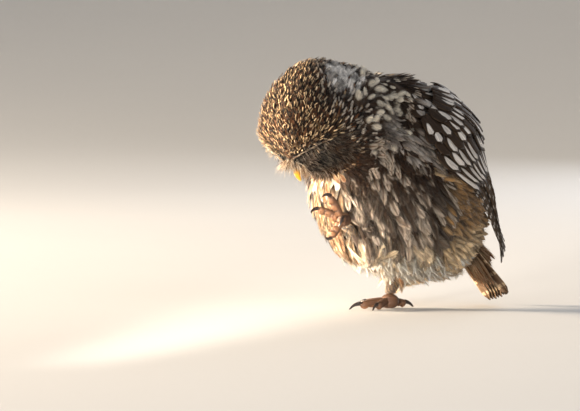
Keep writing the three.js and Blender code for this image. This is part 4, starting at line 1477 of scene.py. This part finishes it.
class OWL_OT_body_coat(bpy.types.Operator):
    """Feathers of the back, breast and flanks, loose feathers at the wing's edge, and down"""

    bl_idname = "owl.body_coat"
    bl_label = "Body coat"

    def execute(self, context):
        surface = skin_surface()
        grow("coat_back", surface, 5, back_finish(), "wing_feathers", weight=on_back,
             templates=[vane(4, 6, covert_outline)], region=0.8,
             gap=5.0, reach=(14, 18), width=(9, 11), low=0.6, high=(3.2, 4.2), stray=0.1)
        grow("coat_breast", surface, 6, breast_finish(), "breast_feathers", weight=on_breast,
             templates=templates_of(soft_feather, 4, 40, 22, 0.028, (6, 5), 0.6, 0.32), size=neck_size,
             gap=3.9, stretch=1.8, reach=(16, 22), width=(6.5, 9.5), low=0.4, high=(4.2, 6.6), stray=0.14)
        flank = templates_of(soft_feather, 5, 45, 22, 0.026, (6, 5), 0.68, 0.34)
        fluff = templates_of(downy_feather, 5, 50, 44, 0.022, (5, 4), 0.4, 0.7)
        for side, turned in (("left", 1), ("right", -1)):
            grow(f"coat_flank_{side}", surface, 8 + turned, flank_finish(), "breast_feathers",
                 weight=one_side(on_flank, turned), templates=flank, size=neck_size,
                 region=self.flank_region, gap=lambda places: 3.9 * neck_size(places), stretch=2.0,
                 reach=(20, 28), width=(7, 10.5), low=0.4, high=(4.2, 7.0), stray=0.14)
            grow(f"coat_fluff_{side}", surface, 11 + turned, fluff_finish(), "breast_feathers",
                 weight=one_side(on_fluff, turned), templates=fluff, region=self.fluff_region,
                 gap=2.9, reach=(16, 25), width=(7, 11), low=0.3, high=(5.0, 9), stray=0.14,
                 sweep=(0, 0.45, 0))
        grow("coat_belly", surface, 14, belly_finish(), "breast_feathers", weight=on_belly,
             templates=templates_of(downy_feather, 5, 55, 52, 0.022, (5, 4), 0.2, 0.8), region=1,
             gap=2.9, reach=(9, 15), width=(6, 9), low=0.2, high=(5, 11), stray=0.3)
        grow("coat_legs", surface, 15, belly_finish(), "leg_down", weight=on_leg,
             templates=templates_of(plume, 4, 60, 6, 0.09, 0.7),
             gap=1.4, reach=(4, 6.5), width=(1.8, 2.8), low=0.1, high=(0.7, 1.4), stray=0.2)
        return {"FINISHED"}

    def flank_region(self, places):
        """Cream 1 low on the flank, grey 0 above it, and less than that beside the neck, where it darkens
        the streaks and roots as painted shadow of the head
        """
        height = height_of(places)
        return 1 - ease(44, 66, height + 6 * np.sin(places[:, 1] * 300)) - 0.6 * ease(86, 112, height)

    def fluff_region(self, places):
        """Cream 1 low on the body, tan 0 above it, and grey 2 beside the neck"""
        return mix(1 - ease(44, 76, height_of(places)), 2, ease(98, 112, height_of(places)))


# Wings and tail

torso_rows = smooth_rows(TORSO_SECTIONS)
wing_edges = smooth_rows(WING_EDGES)
stand_off = smooth_rows(WING_STAND_OFF)


def torso_point(turn, height, extra_rear):
    """Point of the body's outline in millimetres: turn in radians, 0 in front"""
    front, rear, half = np.moveaxis(torso_rows(height), -1, 0)
    widest = mix(front, rear, WIDEST_AT)
    depth = np.where(np.cos(turn) > 0, widest - front, rear + extra_rear - widest)
    return np.stack([np.sin(turn) * half, widest - np.cos(turn) * depth, height], -1)


def wing_bed(along, across):
    """Point under the feathers of the left wing, at a share of its length and of its width"""
    low_turn, low_height, high_turn, high_height = np.moveaxis(wing_edges(along), -1, 0)
    height = mix(low_height, high_height, across)
    turn = np.radians(mix(low_turn, high_turn, across))
    return torso_point(turn, height, stand_off(height)[..., 0])


def wing_paths(across, start, end, low, high, tilt, steps):
    """Paths of the left wing's feathers, as surface_paths gives them"""
    share = np.linspace(0, 1, steps + 1)[None]
    along = mix(start[:, None], end[:, None], share)
    across = np.repeat(across[:, None], steps + 1, 1)
    reach = 0.02
    onward = wing_bed(np.minimum(along + reach, 1), across) - wing_bed(np.maximum(along - reach, 0), across)
    beside = wing_bed(along, across + reach) - wing_bed(along, across - reach)
    up = unit(np.cross(onward, beside))
    height = mix(low[:, None], high[:, None], share)[..., None]
    sides = unit(unit(beside) - up * tilt)
    return (wing_bed(along, across) + up * height) * MM, up, -sides


# Tiers of each wing: feathers, across and along from and to, what each loses to the one before,
# width, low and high, step, marks and the template
WING_TIERS = {
    "primaries": (9, (0.03, 0.62), (0.5, 1.0), 0.02, 10.5, 0.5, 1.2, 0.32, 9, "flight"),
    "secondaries": (10, (0.34, 0.97), (0.46, 0.85), 0.022, 12.5, 1.6, 3.4, 0.2, 6, "flight"),
    "greater": (12, (0.04, 0.95), (0.36, 0.6), 0.003, 11, 2.0, 4.6, 0, 1, "covert"),
    "median": (12, (0.04, 0.93), (0.26, 0.46), 0.002, 11, 2.2, 5.0, 0, 1, "covert"),
    "lesser": (11, (0.04, 0.92), (0.17, 0.34), 0.002, 11, 2.2, 5.2, 0, 1, "covert"),
    "least": (11, (0.02, 0.9), (0.09, 0.25), 0.002, 10, 2.2, 5.2, 0, 1, "covert"),
    "shoulder": (9, (0.06, 0.86), (0.02, 0.17), 0, 10, 2.0, 5.0, 0, 1, "covert"),
    "scapulars": (6, (0.62, 1.02), (0.12, 0.4), 0.01, 13, 3.2, 6.6, 0, 1, "covert"),
}


class OWL_OT_wings(bpy.types.Operator):
    """Folded wings, tier by tier"""

    bl_idname = "owl.wings"
    bl_label = "Wings"

    def execute(self, context):
        shapes = {"flight": vane(6, 14, flight_outline, 0.05, 0.1, 0.04),
                  "covert": vane(6, 8, covert_outline, 0.05, 0.14, 0.05)}
        finishes = {"flight": flight_finish(), "covert": back_finish()}
        for side, flip in (("left", 1), ("right", -1)):
            for index, kind in enumerate(shapes):
                tiers = [tier for tier in WING_TIERS.values() if tier[-1] == kind]
                piece = self.build(f"wing_{side}_{kind}s", tiers, shapes[kind], flip, 60 + index + flip)
                nodes = (f"wing_{side}",) if kind == "flight" else ()
                finish(piece, finishes[kind], "wing_feathers", *nodes)
        return {"FINISHED"}

    def build(self, name, tiers, template, flip, seed):
        """The feathers of several tiers as one piece"""
        draws = np.random.default_rng(seed)
        groups = []
        for count, across, along, shorter, width, low, high, step, marks, _ in tiers:
            index = np.arange(count)
            rough = 1.0 if marks == 1 else 0.35
            place = mix(across[0], across[1], index / (count - 1)) + draws.normal(0, 0.02, count) * rough
            end = along[1] - shorter * index + draws.normal(0, 0.014, count) * rough
            high = high + step * index + draws.normal(0, 0.25, count) * rough
            paths = wing_paths(place, np.full(count, along[0]), end, np.full(count, low), high, 0.16, 10)
            wide = width * draws.uniform(0.88, 1.12, count) * MM
            groups.append((paths, template, wide, numbers_of(draws, marks, count)))
        return sheet_of(name, groups, flip)


def sheet_of(name, groups, flip=1):
    """Firm feathers as one piece, each with a place of its own in a grid on the map"""
    side = math.ceil(math.sqrt(sum(len(group[2]) for group in groups)))
    placed, first = [], 0
    for group in groups:
        number = np.arange(first, first + len(group[2]))
        placed.append((*group, np.stack([number % side, number // side], 1) / side))
        first += len(number)

    def cell(own, height):
        under = np.where(height >= np.median(height), 0.0, 0.5)
        return np.stack([own[:, 0] * 0.42 + 0.04 + under, own[:, 1].clip(0, 1) * 0.92 + 0.04], 1) / side

    return coat(name, placed, flip, cell)


def tail_paths(fan, start, end, spread, low, high, steps):
    """Paths of the tail's feathers, as surface_paths gives them"""
    root, tip = np.array(TAIL_ROOT, float), np.array(TAIL_TIP, float)
    reach = np.linalg.norm(tip - root)
    onward = (tip - root) / reach
    beside = unit(np.array([1.0, 0, 0]) - onward * onward[0])
    up = np.cross(beside, onward)
    share = np.linspace(0, 1, steps + 1)[None]
    along = mix(start[:, None], end[:, None], share)
    side = mix(fan[:, None] * TAIL_ROOT_HALF, fan[:, None] * spread, along)
    height = mix(low[:, None], high[:, None], share)
    places = root + onward * (along * reach)[..., None] + beside * side[..., None] + up * height[..., None]
    return places * MM, np.broadcast_to(up, places.shape), np.broadcast_to(-beside, places.shape)


class OWL_OT_tail(bpy.types.Operator):
    """Twelve tail feathers with their coverts above and below"""

    bl_idname = "owl.tail"
    bl_label = "Tail"

    def execute(self, context):
        draws = np.random.default_rng(70)
        flight = vane(6, 14, flight_outline, 0.05, 0.06, 0.05)
        fan = np.linspace(-1, 1, 12)
        end = 1 - 0.027 * fan * fan + draws.normal(0, 0.004, 12)
        low = -np.abs(fan) * 5.5 * 0.9
        paths = tail_paths(fan, np.full(12, 0.3), end, TAIL_TIP_HALF, low, low, 8)
        piece = sheet_of("tail_feathers", [(paths, flight, np.full(12, 11 * MM), numbers_of(draws, 5, 12))])
        finish(piece, tail_finish(), "tail_feathers", "tail")
        soft = templates_of(soft_feather, 3, 75, 20, 0.03, (6, 6), 0.6, 0.34)
        groups = []
        for above, low, high, end in ((True, 1.5, 3.0, 0.72), (False, -6.5, -8.0, 0.86)):
            count = 18
            places = np.linspace(-1, 1, count)
            start = draws.uniform(0.35, 0.5, count)
            stop = end - 0.08 * places ** 2 + draws.normal(0, 0.03, count)
            layer = draws.normal(0, 0.7, count)
            paths = tail_paths(places, start, stop, TAIL_TIP_HALF * 0.8, low + layer, high + layer, 4)
            if not above:
                paths = (paths[0], -paths[1], -paths[2])
            region = np.full(count, 1.0 if above else 0.0)
            numbers = np.column_stack([draws.random(count), draws.uniform(0.3, 1, count), region])
            groups.append((paths, soft[0 if above else 1], draws.uniform(6.5, 9.5, count) * MM, numbers))
        piece = sheet_of("tail_coverts", groups)
        finish(piece, breast_finish(), "tail_feathers")
        return {"FINISHED"}


# Bill, eyes and feet

def curve_through(points):
    """Smooth curve through points, read at a share of its length"""
    table = np.array(points, float)
    steps = np.linalg.norm(np.diff(table, axis=0), axis=1)
    keys = np.concatenate([[0], np.cumsum(steps)]) / steps.sum()
    return smooth_rows(np.column_stack([keys, table]))


def swept(name, read, radii, up, segments=24, rings=32):
    """A closed piece along a curve. radii gives half sizes across and up for turns and shares"""
    def place(turn, level):
        middle = read(level)
        onward = unit(read(np.minimum(level + 0.01, 1)) - read(np.maximum(level - 0.01, 0)))
        upright = unit(up - onward * (onward * up).sum(-1, keepdims=True))
        across = np.cross(onward, upright)
        wide, deep = radii(turn, level)
        return middle + across * (np.sin(turn) * wide)[:, None] + upright * (np.cos(turn) * deep)[:, None]

    return ball(name, segments, rings, place)


class OWL_OT_bill(bpy.types.Operator):
    """Hooked upper bill with its nostrils, and the lower bill"""

    bl_idname = "owl.bill"
    bl_label = "Bill"

    def execute(self, context):
        tints = colours()
        horn = horn_finish("bill horn", tints.bill_root, tints.bill, 0.4, 0.75, 0.32)
        up = np.array([0.0, 0, 1])
        for name, path, width, depth, ridge in (
            ("bill_upper_horn", BILL_PATH, 4.2, 3.4, 0.14),
            ("bill_lower_horn", LOWER_BILL_PATH, 3.0, 1.4, 0.0),
        ):
            read = curve_through(path)

            def radii(turn, level, width=width, depth=depth, ridge=ridge):
                taper = np.clip(1 - level, 0.0, 1) ** 0.5 * ease(-0.02, 0.06, level)
                crest = 1 + ridge * np.exp(-((turn / 0.4) ** 2))
                flat = 1 - 0.12 * np.abs(np.sin(turn)) ** 3
                return width * taper * flat, depth * taper * crest

            piece, turn, level = swept(name, read, radii, up)
            if name == "bill_upper_horn":
                self.nostrils(piece)
            put_on_head(piece)
            add_length_map(piece, turn, level)
            finish(piece, horn, "bill_horn", name.replace("_horn", ""))
        return {"FINISHED"}

    def nostrils(self, piece):
        """Dents on both sides near the root of the upper bill"""
        points, _ = corners_of(piece.data)
        for side in (-1, 1):
            off = (points - np.array([side * 3.0, -29.6, 0.4])) / (1.3, 1.6, 1.2)
            dent = np.exp(-(off ** 2).sum(1) * 1.6)
            points[:, 0] -= side * dent * 1.2
        put_points(piece, points)


class OWL_OT_eyes(bpy.types.Operator):
    """Yellow eyes under half closed lids"""

    bl_idname = "owl.eyes"
    bl_label = "Eyes"

    def execute(self, context):
        for side, flip in (("left", 1), ("right", -1)):
            at = np.array([EYE_AT[0] * flip, EYE_AT[1], EYE_AT[2]])
            look = unit(np.array([0.28 * flip, -1.0, -0.05]))
            across = unit(np.cross(look, [0.0, 0, 1]))
            up = np.cross(across, look)

            def place(turn, level, at=at, look=look, across=across, up=up, radius=EYE_RADIUS):
                angle = level * math.pi
                ring = np.sin(angle)[:, None]
                around = across * np.sin(turn)[:, None] + up * np.cos(turn)[:, None]
                return at + (look * np.cos(angle)[:, None] + around * ring) * radius

            piece, turn, level = ball(f"eyeball_{side}", 40, 28, place)
            put_on_head(piece)
            add_length_map(piece, turn, level)
            finish(piece, eye_finish(side), "eye", f"eye_{side}")
            self.lids(side, at, look, across, up)
        return {"FINISHED"}

    def lids(self, side, at, look, across, up):
        """A closed shell round the eye, open in an almond"""
        segments, rings = 48, 16
        deselect()
        bpy.ops.mesh.primitive_grid_add(x_subdivisions=segments, y_subdivisions=rings, size=2)
        piece = named(f"lids_{side}")
        points, _ = corners_of(piece.data)
        turn = points[:, 0] * math.pi
        share = (points[:, 1] + 1) / 2
        half_wide, upper, lower = math.radians(52), math.radians(9), math.radians(22)
        tall = np.where(np.cos(turn) > 0, upper, lower)
        shift = math.radians(-6)
        wide = np.abs(np.sin(turn)) ** 0.9 * np.sign(np.sin(turn)) * half_wide
        high = np.cos(turn) * tall + shift
        opening = np.hypot(wide, high)
        start_across, start_up = wide / opening, high / opening
        far_edge = math.radians(86)
        angle = mix(opening, far_edge, share)
        turned = [mix(start_across, np.sin(turn), share), mix(start_up, np.cos(turn), share)]
        turned = unit(np.stack(turned, 1))
        around = across * turned[:, :1] + up * turned[:, 1:]
        rim = 0.5 * ease(0, 0.12, share)
        folds = 0.35 * np.sin(share * 14) * ease(0.1, 0.3, share)
        radius = (EYE_RADIUS + 0.25) + rim + folds
        places = at + (look * np.cos(angle)[:, None] + around * np.sin(angle)[:, None]) * radius[:, None]
        put_points(piece, places)
        add_length_map(piece, turn, share)
        edit_all(merge(0.02), outward)
        bpy.ops.object.shade_smooth()
        apply_modifier(piece, "SOLIDIFY", thickness=0.5, offset=1)
        put_on_head(piece)
        finish(piece, lid_finish(), "crown_feathers")


def toe_shapes():
    """For each toe: start, middle, tip, side of the pads, claw length, its rise and curve, lowest height"""
    shapes = {}
    for name, (turn, reach, claw) in RIGHT_TOES.items():
        ahead = np.array([math.sin(math.radians(turn)), -math.cos(math.radians(turn)), 0])
        start = ahead * 3 + (0, 0, 5.2)
        tip = ahead * reach + (0, 0, TOE_RADIUS * 0.92)
        pads = np.array([0.0, 0, -1])
        shapes[f"right_{name}"] = (start, (start + tip) / 2 - pads * 0.6, tip, pads, claw, 0.35, 1.25, 0.0)
    for name, (tip, pads, claw) in LEFT_TOES.items():
        tip, pads = np.array(tip, float), unit(np.array(pads, float))
        start = unit(tip) * 2.5
        middle = (start + tip) / 2 - pads * 1.6
        place = np.array(LEFT_FOOT_AT, float)
        shapes[f"left_{name}"] = (start + place, middle + place, tip + place, pads, claw, 0, 1.75, -100.0)
    return shapes


class OWL_OT_feet(bpy.types.Operator):
    """Soles, padded toes and curved claws"""

    bl_idname = "owl.feet"
    bl_label = "Feet"

    def execute(self, context):
        tints = colours()
        skin = toe_finish()
        horn = horn_finish("claw horn", tints.claw, tints.claw, 0.0, 1.0, 0.22)
        for side, at in SOLE_AT.items():
            piece = self.sole(side, np.array(at, float))
            finish(piece, skin, "toe_skin", f"foot_{side}")
        for name, shape in toe_shapes().items():
            finish(self.toe(name, shape), skin, "toe_skin", f"toe_{name}")
            finish(self.claw(name, shape), horn, "claw_horn", f"claw_{name}")
        return {"FINISHED"}

    def sole(self, side, at):
        """The middle of a foot"""
        def place(turn, level):
            angle = level * math.pi
            ring = np.sin(angle)
            points = np.stack([np.sin(turn) * ring, np.cos(turn) * ring, np.cos(angle)], 1)
            points = points * SOLE_HALF[side] + at
            if side == "right":
                points[:, 2] = np.maximum(points[:, 2], 0.02)
            return points * MM

        piece, turn, _ = ball(f"sole_{side}", 24, 16, place)
        add_uv(piece, "pads", np.zeros((len(turn), 2)))
        return piece

    def toe(self, name, shape):
        """A toe with three pads and plates over its tip"""
        start, middle, tip, pads, _, _, _, floor = shape

        def read(level):
            share = np.asarray(level)[..., None]
            return start * (1 - share) ** 2 + middle * 2 * share * (1 - share) + tip * share ** 2

        def radii(turn, level):
            past = np.clip((level - 0.8) / 0.2, 0, 1)
            radius = TOE_RADIUS * np.sqrt(np.clip(1 - past ** 2, 0, 1)) * ease(-0.05, 0.1, level)
            pad = np.abs(np.sin(level * math.pi * 3)) ** 0.7
            plates = 0.03 * np.abs(np.sin(level * math.pi * 9)) * ease(0.5, 0.7, level)
            down = np.cos(turn) < 0
            return radius * (0.94 + 0.08 * pad), radius * np.where(down, 0.86 + 0.3 * pad, 0.86 + plates)

        piece, turn, level = swept(f"toe_{name}_skin", read, radii, -pads, 20, 30)
        self.settle(piece, floor + 0.02)
        under = ease(0.1, 0.7, -np.cos(turn)) * np.abs(np.sin(level * math.pi * 3)) ** 0.7
        add_uv(piece, "pads", np.stack([under, level], 1))
        return piece

    def claw(self, name, shape):
        """A curved claw that tapers to its point"""
        _, middle, tip, pads, claw, rise, bend, floor = shape
        onward = unit(tip - middle)
        sole = unit(pads - onward * (onward @ pads))
        root = tip - onward * 1.8 - sole * 0.9
        arc = (claw + 1.8) / bend

        def read(level):
            heading = rise - bend * np.asarray(level)[..., None]
            ahead = onward * (math.sin(rise) - np.sin(heading))
            return root + (ahead + sole * (math.cos(rise) - np.cos(heading))) * arc

        def radii(turn, level):
            radius = CLAW_RADIUS * np.clip(1 - level, 0, 1) ** 0.75 * ease(-0.05, 0.08, level)
            return radius * 0.82, radius

        piece, turn, level = swept(f"claw_{name}_horn", read, radii, -sole, 16, 24)
        self.settle(piece, floor + 0.1)
        add_length_map(piece, turn, level)
        return piece

    def settle(self, piece, lowest):
        """Turns millimetres into metres, with nothing below the lowest height"""
        points, _ = corners_of(piece.data)
        points[:, 2] = np.maximum(points[:, 2], lowest)
        put_points(piece, points * MM)


# Camera, as in the photo: where it stands round the owl, how high, how far, and what it aims at,
# measured to the right of the standing foot and up from it
VIEW_TURN = math.radians(58)
VIEW_RISE = math.radians(3)
VIEW_DISTANCE = 2.5
AIM_RIGHT = -0.0686
AIM_UP = 0.07175
PIXEL = 0.0007
PHOTO_WIDTH = 580
SENSOR = 36.0

# Tint of the lights in front
SOFT_LIGHT = (1.0, 0.88, 0.74)

# Floor: radius of its flat middle, and how it bends up round that
FLOOR_RADIUS = 1.8
BEND_RADIUS = 8.0
BEND_ANGLE = math.radians(75)
BEND_STEPS = 16


class OWL_OT_stage(bpy.types.Operator):
    """Plain floor and backdrop, soft lights and the camera"""

    bl_idname = "owl.stage"
    bl_label = "Stage"

    def execute(self, context):
        right = Vector((math.cos(VIEW_TURN), math.sin(VIEW_TURN), 0))
        level = math.cos(VIEW_RISE)
        back = Vector((math.sin(VIEW_TURN) * level, -math.cos(VIEW_TURN) * level, math.sin(VIEW_RISE)))
        up = back.cross(right)
        aim = right * AIM_RIGHT + up * AIM_UP
        self.camera(context, aim, right, up, back)
        self.lights(aim, right, back)
        self.floor()
        self.world(context)
        return {"FINISHED"}

    def camera(self, context, aim, right, up, back):
        """The photo's camera"""
        bpy.ops.object.camera_add()
        camera = named("camera")
        camera.matrix_world = Matrix((right, up, back)).transposed().to_4x4()
        camera.location = aim + back * VIEW_DISTANCE
        camera.data.sensor_width = SENSOR
        camera.data.lens = SENSOR * VIEW_DISTANCE / (PIXEL * PHOTO_WIDTH)
        camera.data.clip_end = 100
        context.scene.camera = camera

    def lights(self, aim, right, back):
        """A warm key from the left and behind, a cool fill from the right, soft lights in front and behind,
        and a small one for the belly. Each has its spread, and how far below the middle it aims"""
        for name, place, size, power, tint, spread, drop in (
            ("key", -right * 2.6 - back * 0.6 + Vector((0, 0, 0.35)), 0.5, 470, (1.0, 0.80, 0.58), 180, 0),
            ("fill", right * 0.7 + back * 1.6 + Vector((0, 0, 0.6)), 1.6, 7, (0.88, 0.93, 1.0), 180, 0),
            ("front", -right * 1.4 + back * 0.9 + Vector((0, 0, 0.05)), 1.0, 7, SOFT_LIGHT, 180, 0),
            ("rear", right * 0.9 - back * 1.6 + Vector((0, 0, 0.8)), 1.2, 10, (0.95, 0.96, 1.0), 180, 0),
            ("low", -right * 0.2 + back * 0.64 - Vector((0, 0, 0.045)), 0.05, 0.25, SOFT_LIGHT, 18, 0.036),
        ):
            bpy.ops.object.light_add(type="AREA", location=aim + place)
            lamp = bpy.context.object
            lamp.name = name
            lamp.data.size = size
            lamp.data.energy = power
            lamp.data.color = tint
            lamp.data.spread = math.radians(spread)
            lamp.visible_camera = False
            lamp.rotation_euler = (place + Vector((0, 0, drop))).to_track_quat("Z", "Y").to_euler()

    def floor(self):
        """A floor that curves up into a low round backdrop"""
        deselect()
        bpy.ops.mesh.primitive_circle_add(vertices=96, radius=FLOOR_RADIUS - 0.2, fill_type="NGON",
                                          location=(0, 0, -0.0005))
        floor = named("floor")
        bpy.ops.object.transform_apply(location=True, rotation=True, scale=True)
        bpy.ops.object.mode_set(mode="EDIT")
        bpy.ops.mesh.select_all(action="SELECT")
        bpy.ops.mesh.region_to_loop()
        radius, height = FLOOR_RADIUS - 0.2, 0.0
        for step in range(BEND_STEPS + 1):
            angle = BEND_ANGLE * step / BEND_STEPS
            wider = FLOOR_RADIUS + BEND_RADIUS * math.sin(angle)
            higher = BEND_RADIUS * (1 - math.cos(angle))
            bpy.ops.mesh.extrude_edges_move(TRANSFORM_OT_translate={"value": (0, 0, higher - height)})
            bpy.ops.transform.resize(value=(wider / radius, wider / radius, 1), center_override=(0, 0, 0))
            radius, height = wider, higher
        bpy.ops.mesh.select_all(action="SELECT")
        bpy.ops.mesh.normals_make_consistent(inside=False)
        bpy.ops.object.mode_set(mode="OBJECT")
        bpy.ops.object.shade_smooth()
        floor.data.materials.append(floor_finish())

    def world(self, context):
        """Even pale surroundings"""
        world = bpy.data.worlds.new("surroundings")
        world.use_nodes = True
        background = world.node_tree.nodes["Background"]
        background.inputs["Color"].default_value = (0.82, 0.83, 0.84, 1)
        background.inputs["Strength"].default_value = 0.4
        context.scene.world = world
        context.scene.view_settings.view_transform = "Standard"


class OWL_PT_panel(bpy.types.Panel):
    """The owl's pieces, sizes and colours"""

    bl_label = "Little owl"
    bl_idname = "OWL_PT_panel"
    bl_space_type = "VIEW_3D"
    bl_region_type = "UI"
    bl_category = "Owl"

    def draw(self, context):
        for operator in OPERATORS:
            self.layout.operator(operator.bl_idname)
        for group in (context.scene.owl_sizes, context.scene.owl_colours):
            for name in group.bl_rna.properties.keys():
                if name not in ("rna_type", "name"):
                    self.layout.prop(group, name)


OPERATORS = (OWL_OT_stage, OWL_OT_skin, OWL_OT_head_coat, OWL_OT_body_coat, OWL_OT_wings, OWL_OT_tail,
             OWL_OT_bill, OWL_OT_eyes, OWL_OT_feet)
CLASSES = (OwlSizes, OwlColours, *OPERATORS, OWL_PT_panel)


def register():
    """Adds the classes and the scene's settings"""
    for each in CLASSES:
        bpy.utils.register_class(each)
    bpy.types.Scene.owl_sizes = PointerProperty(type=OwlSizes)
    bpy.types.Scene.owl_colours = PointerProperty(type=OwlColours)


def unregister():
    """Takes them away again"""
    del bpy.types.Scene.owl_sizes
    del bpy.types.Scene.owl_colours
    for each in reversed(CLASSES):
        bpy.utils.unregister_class(each)


def main():
    """Makes the owl and its stage"""
    register()
    bpy.ops.owl.stage()
    bpy.ops.owl.skin()
    bpy.ops.owl.head_coat()
    bpy.ops.owl.body_coat()
    bpy.ops.owl.wings()
    bpy.ops.owl.tail()
    bpy.ops.owl.bill()
    bpy.ops.owl.eyes()
    bpy.ops.owl.feet()


if __name__ == "__main__":
    main()
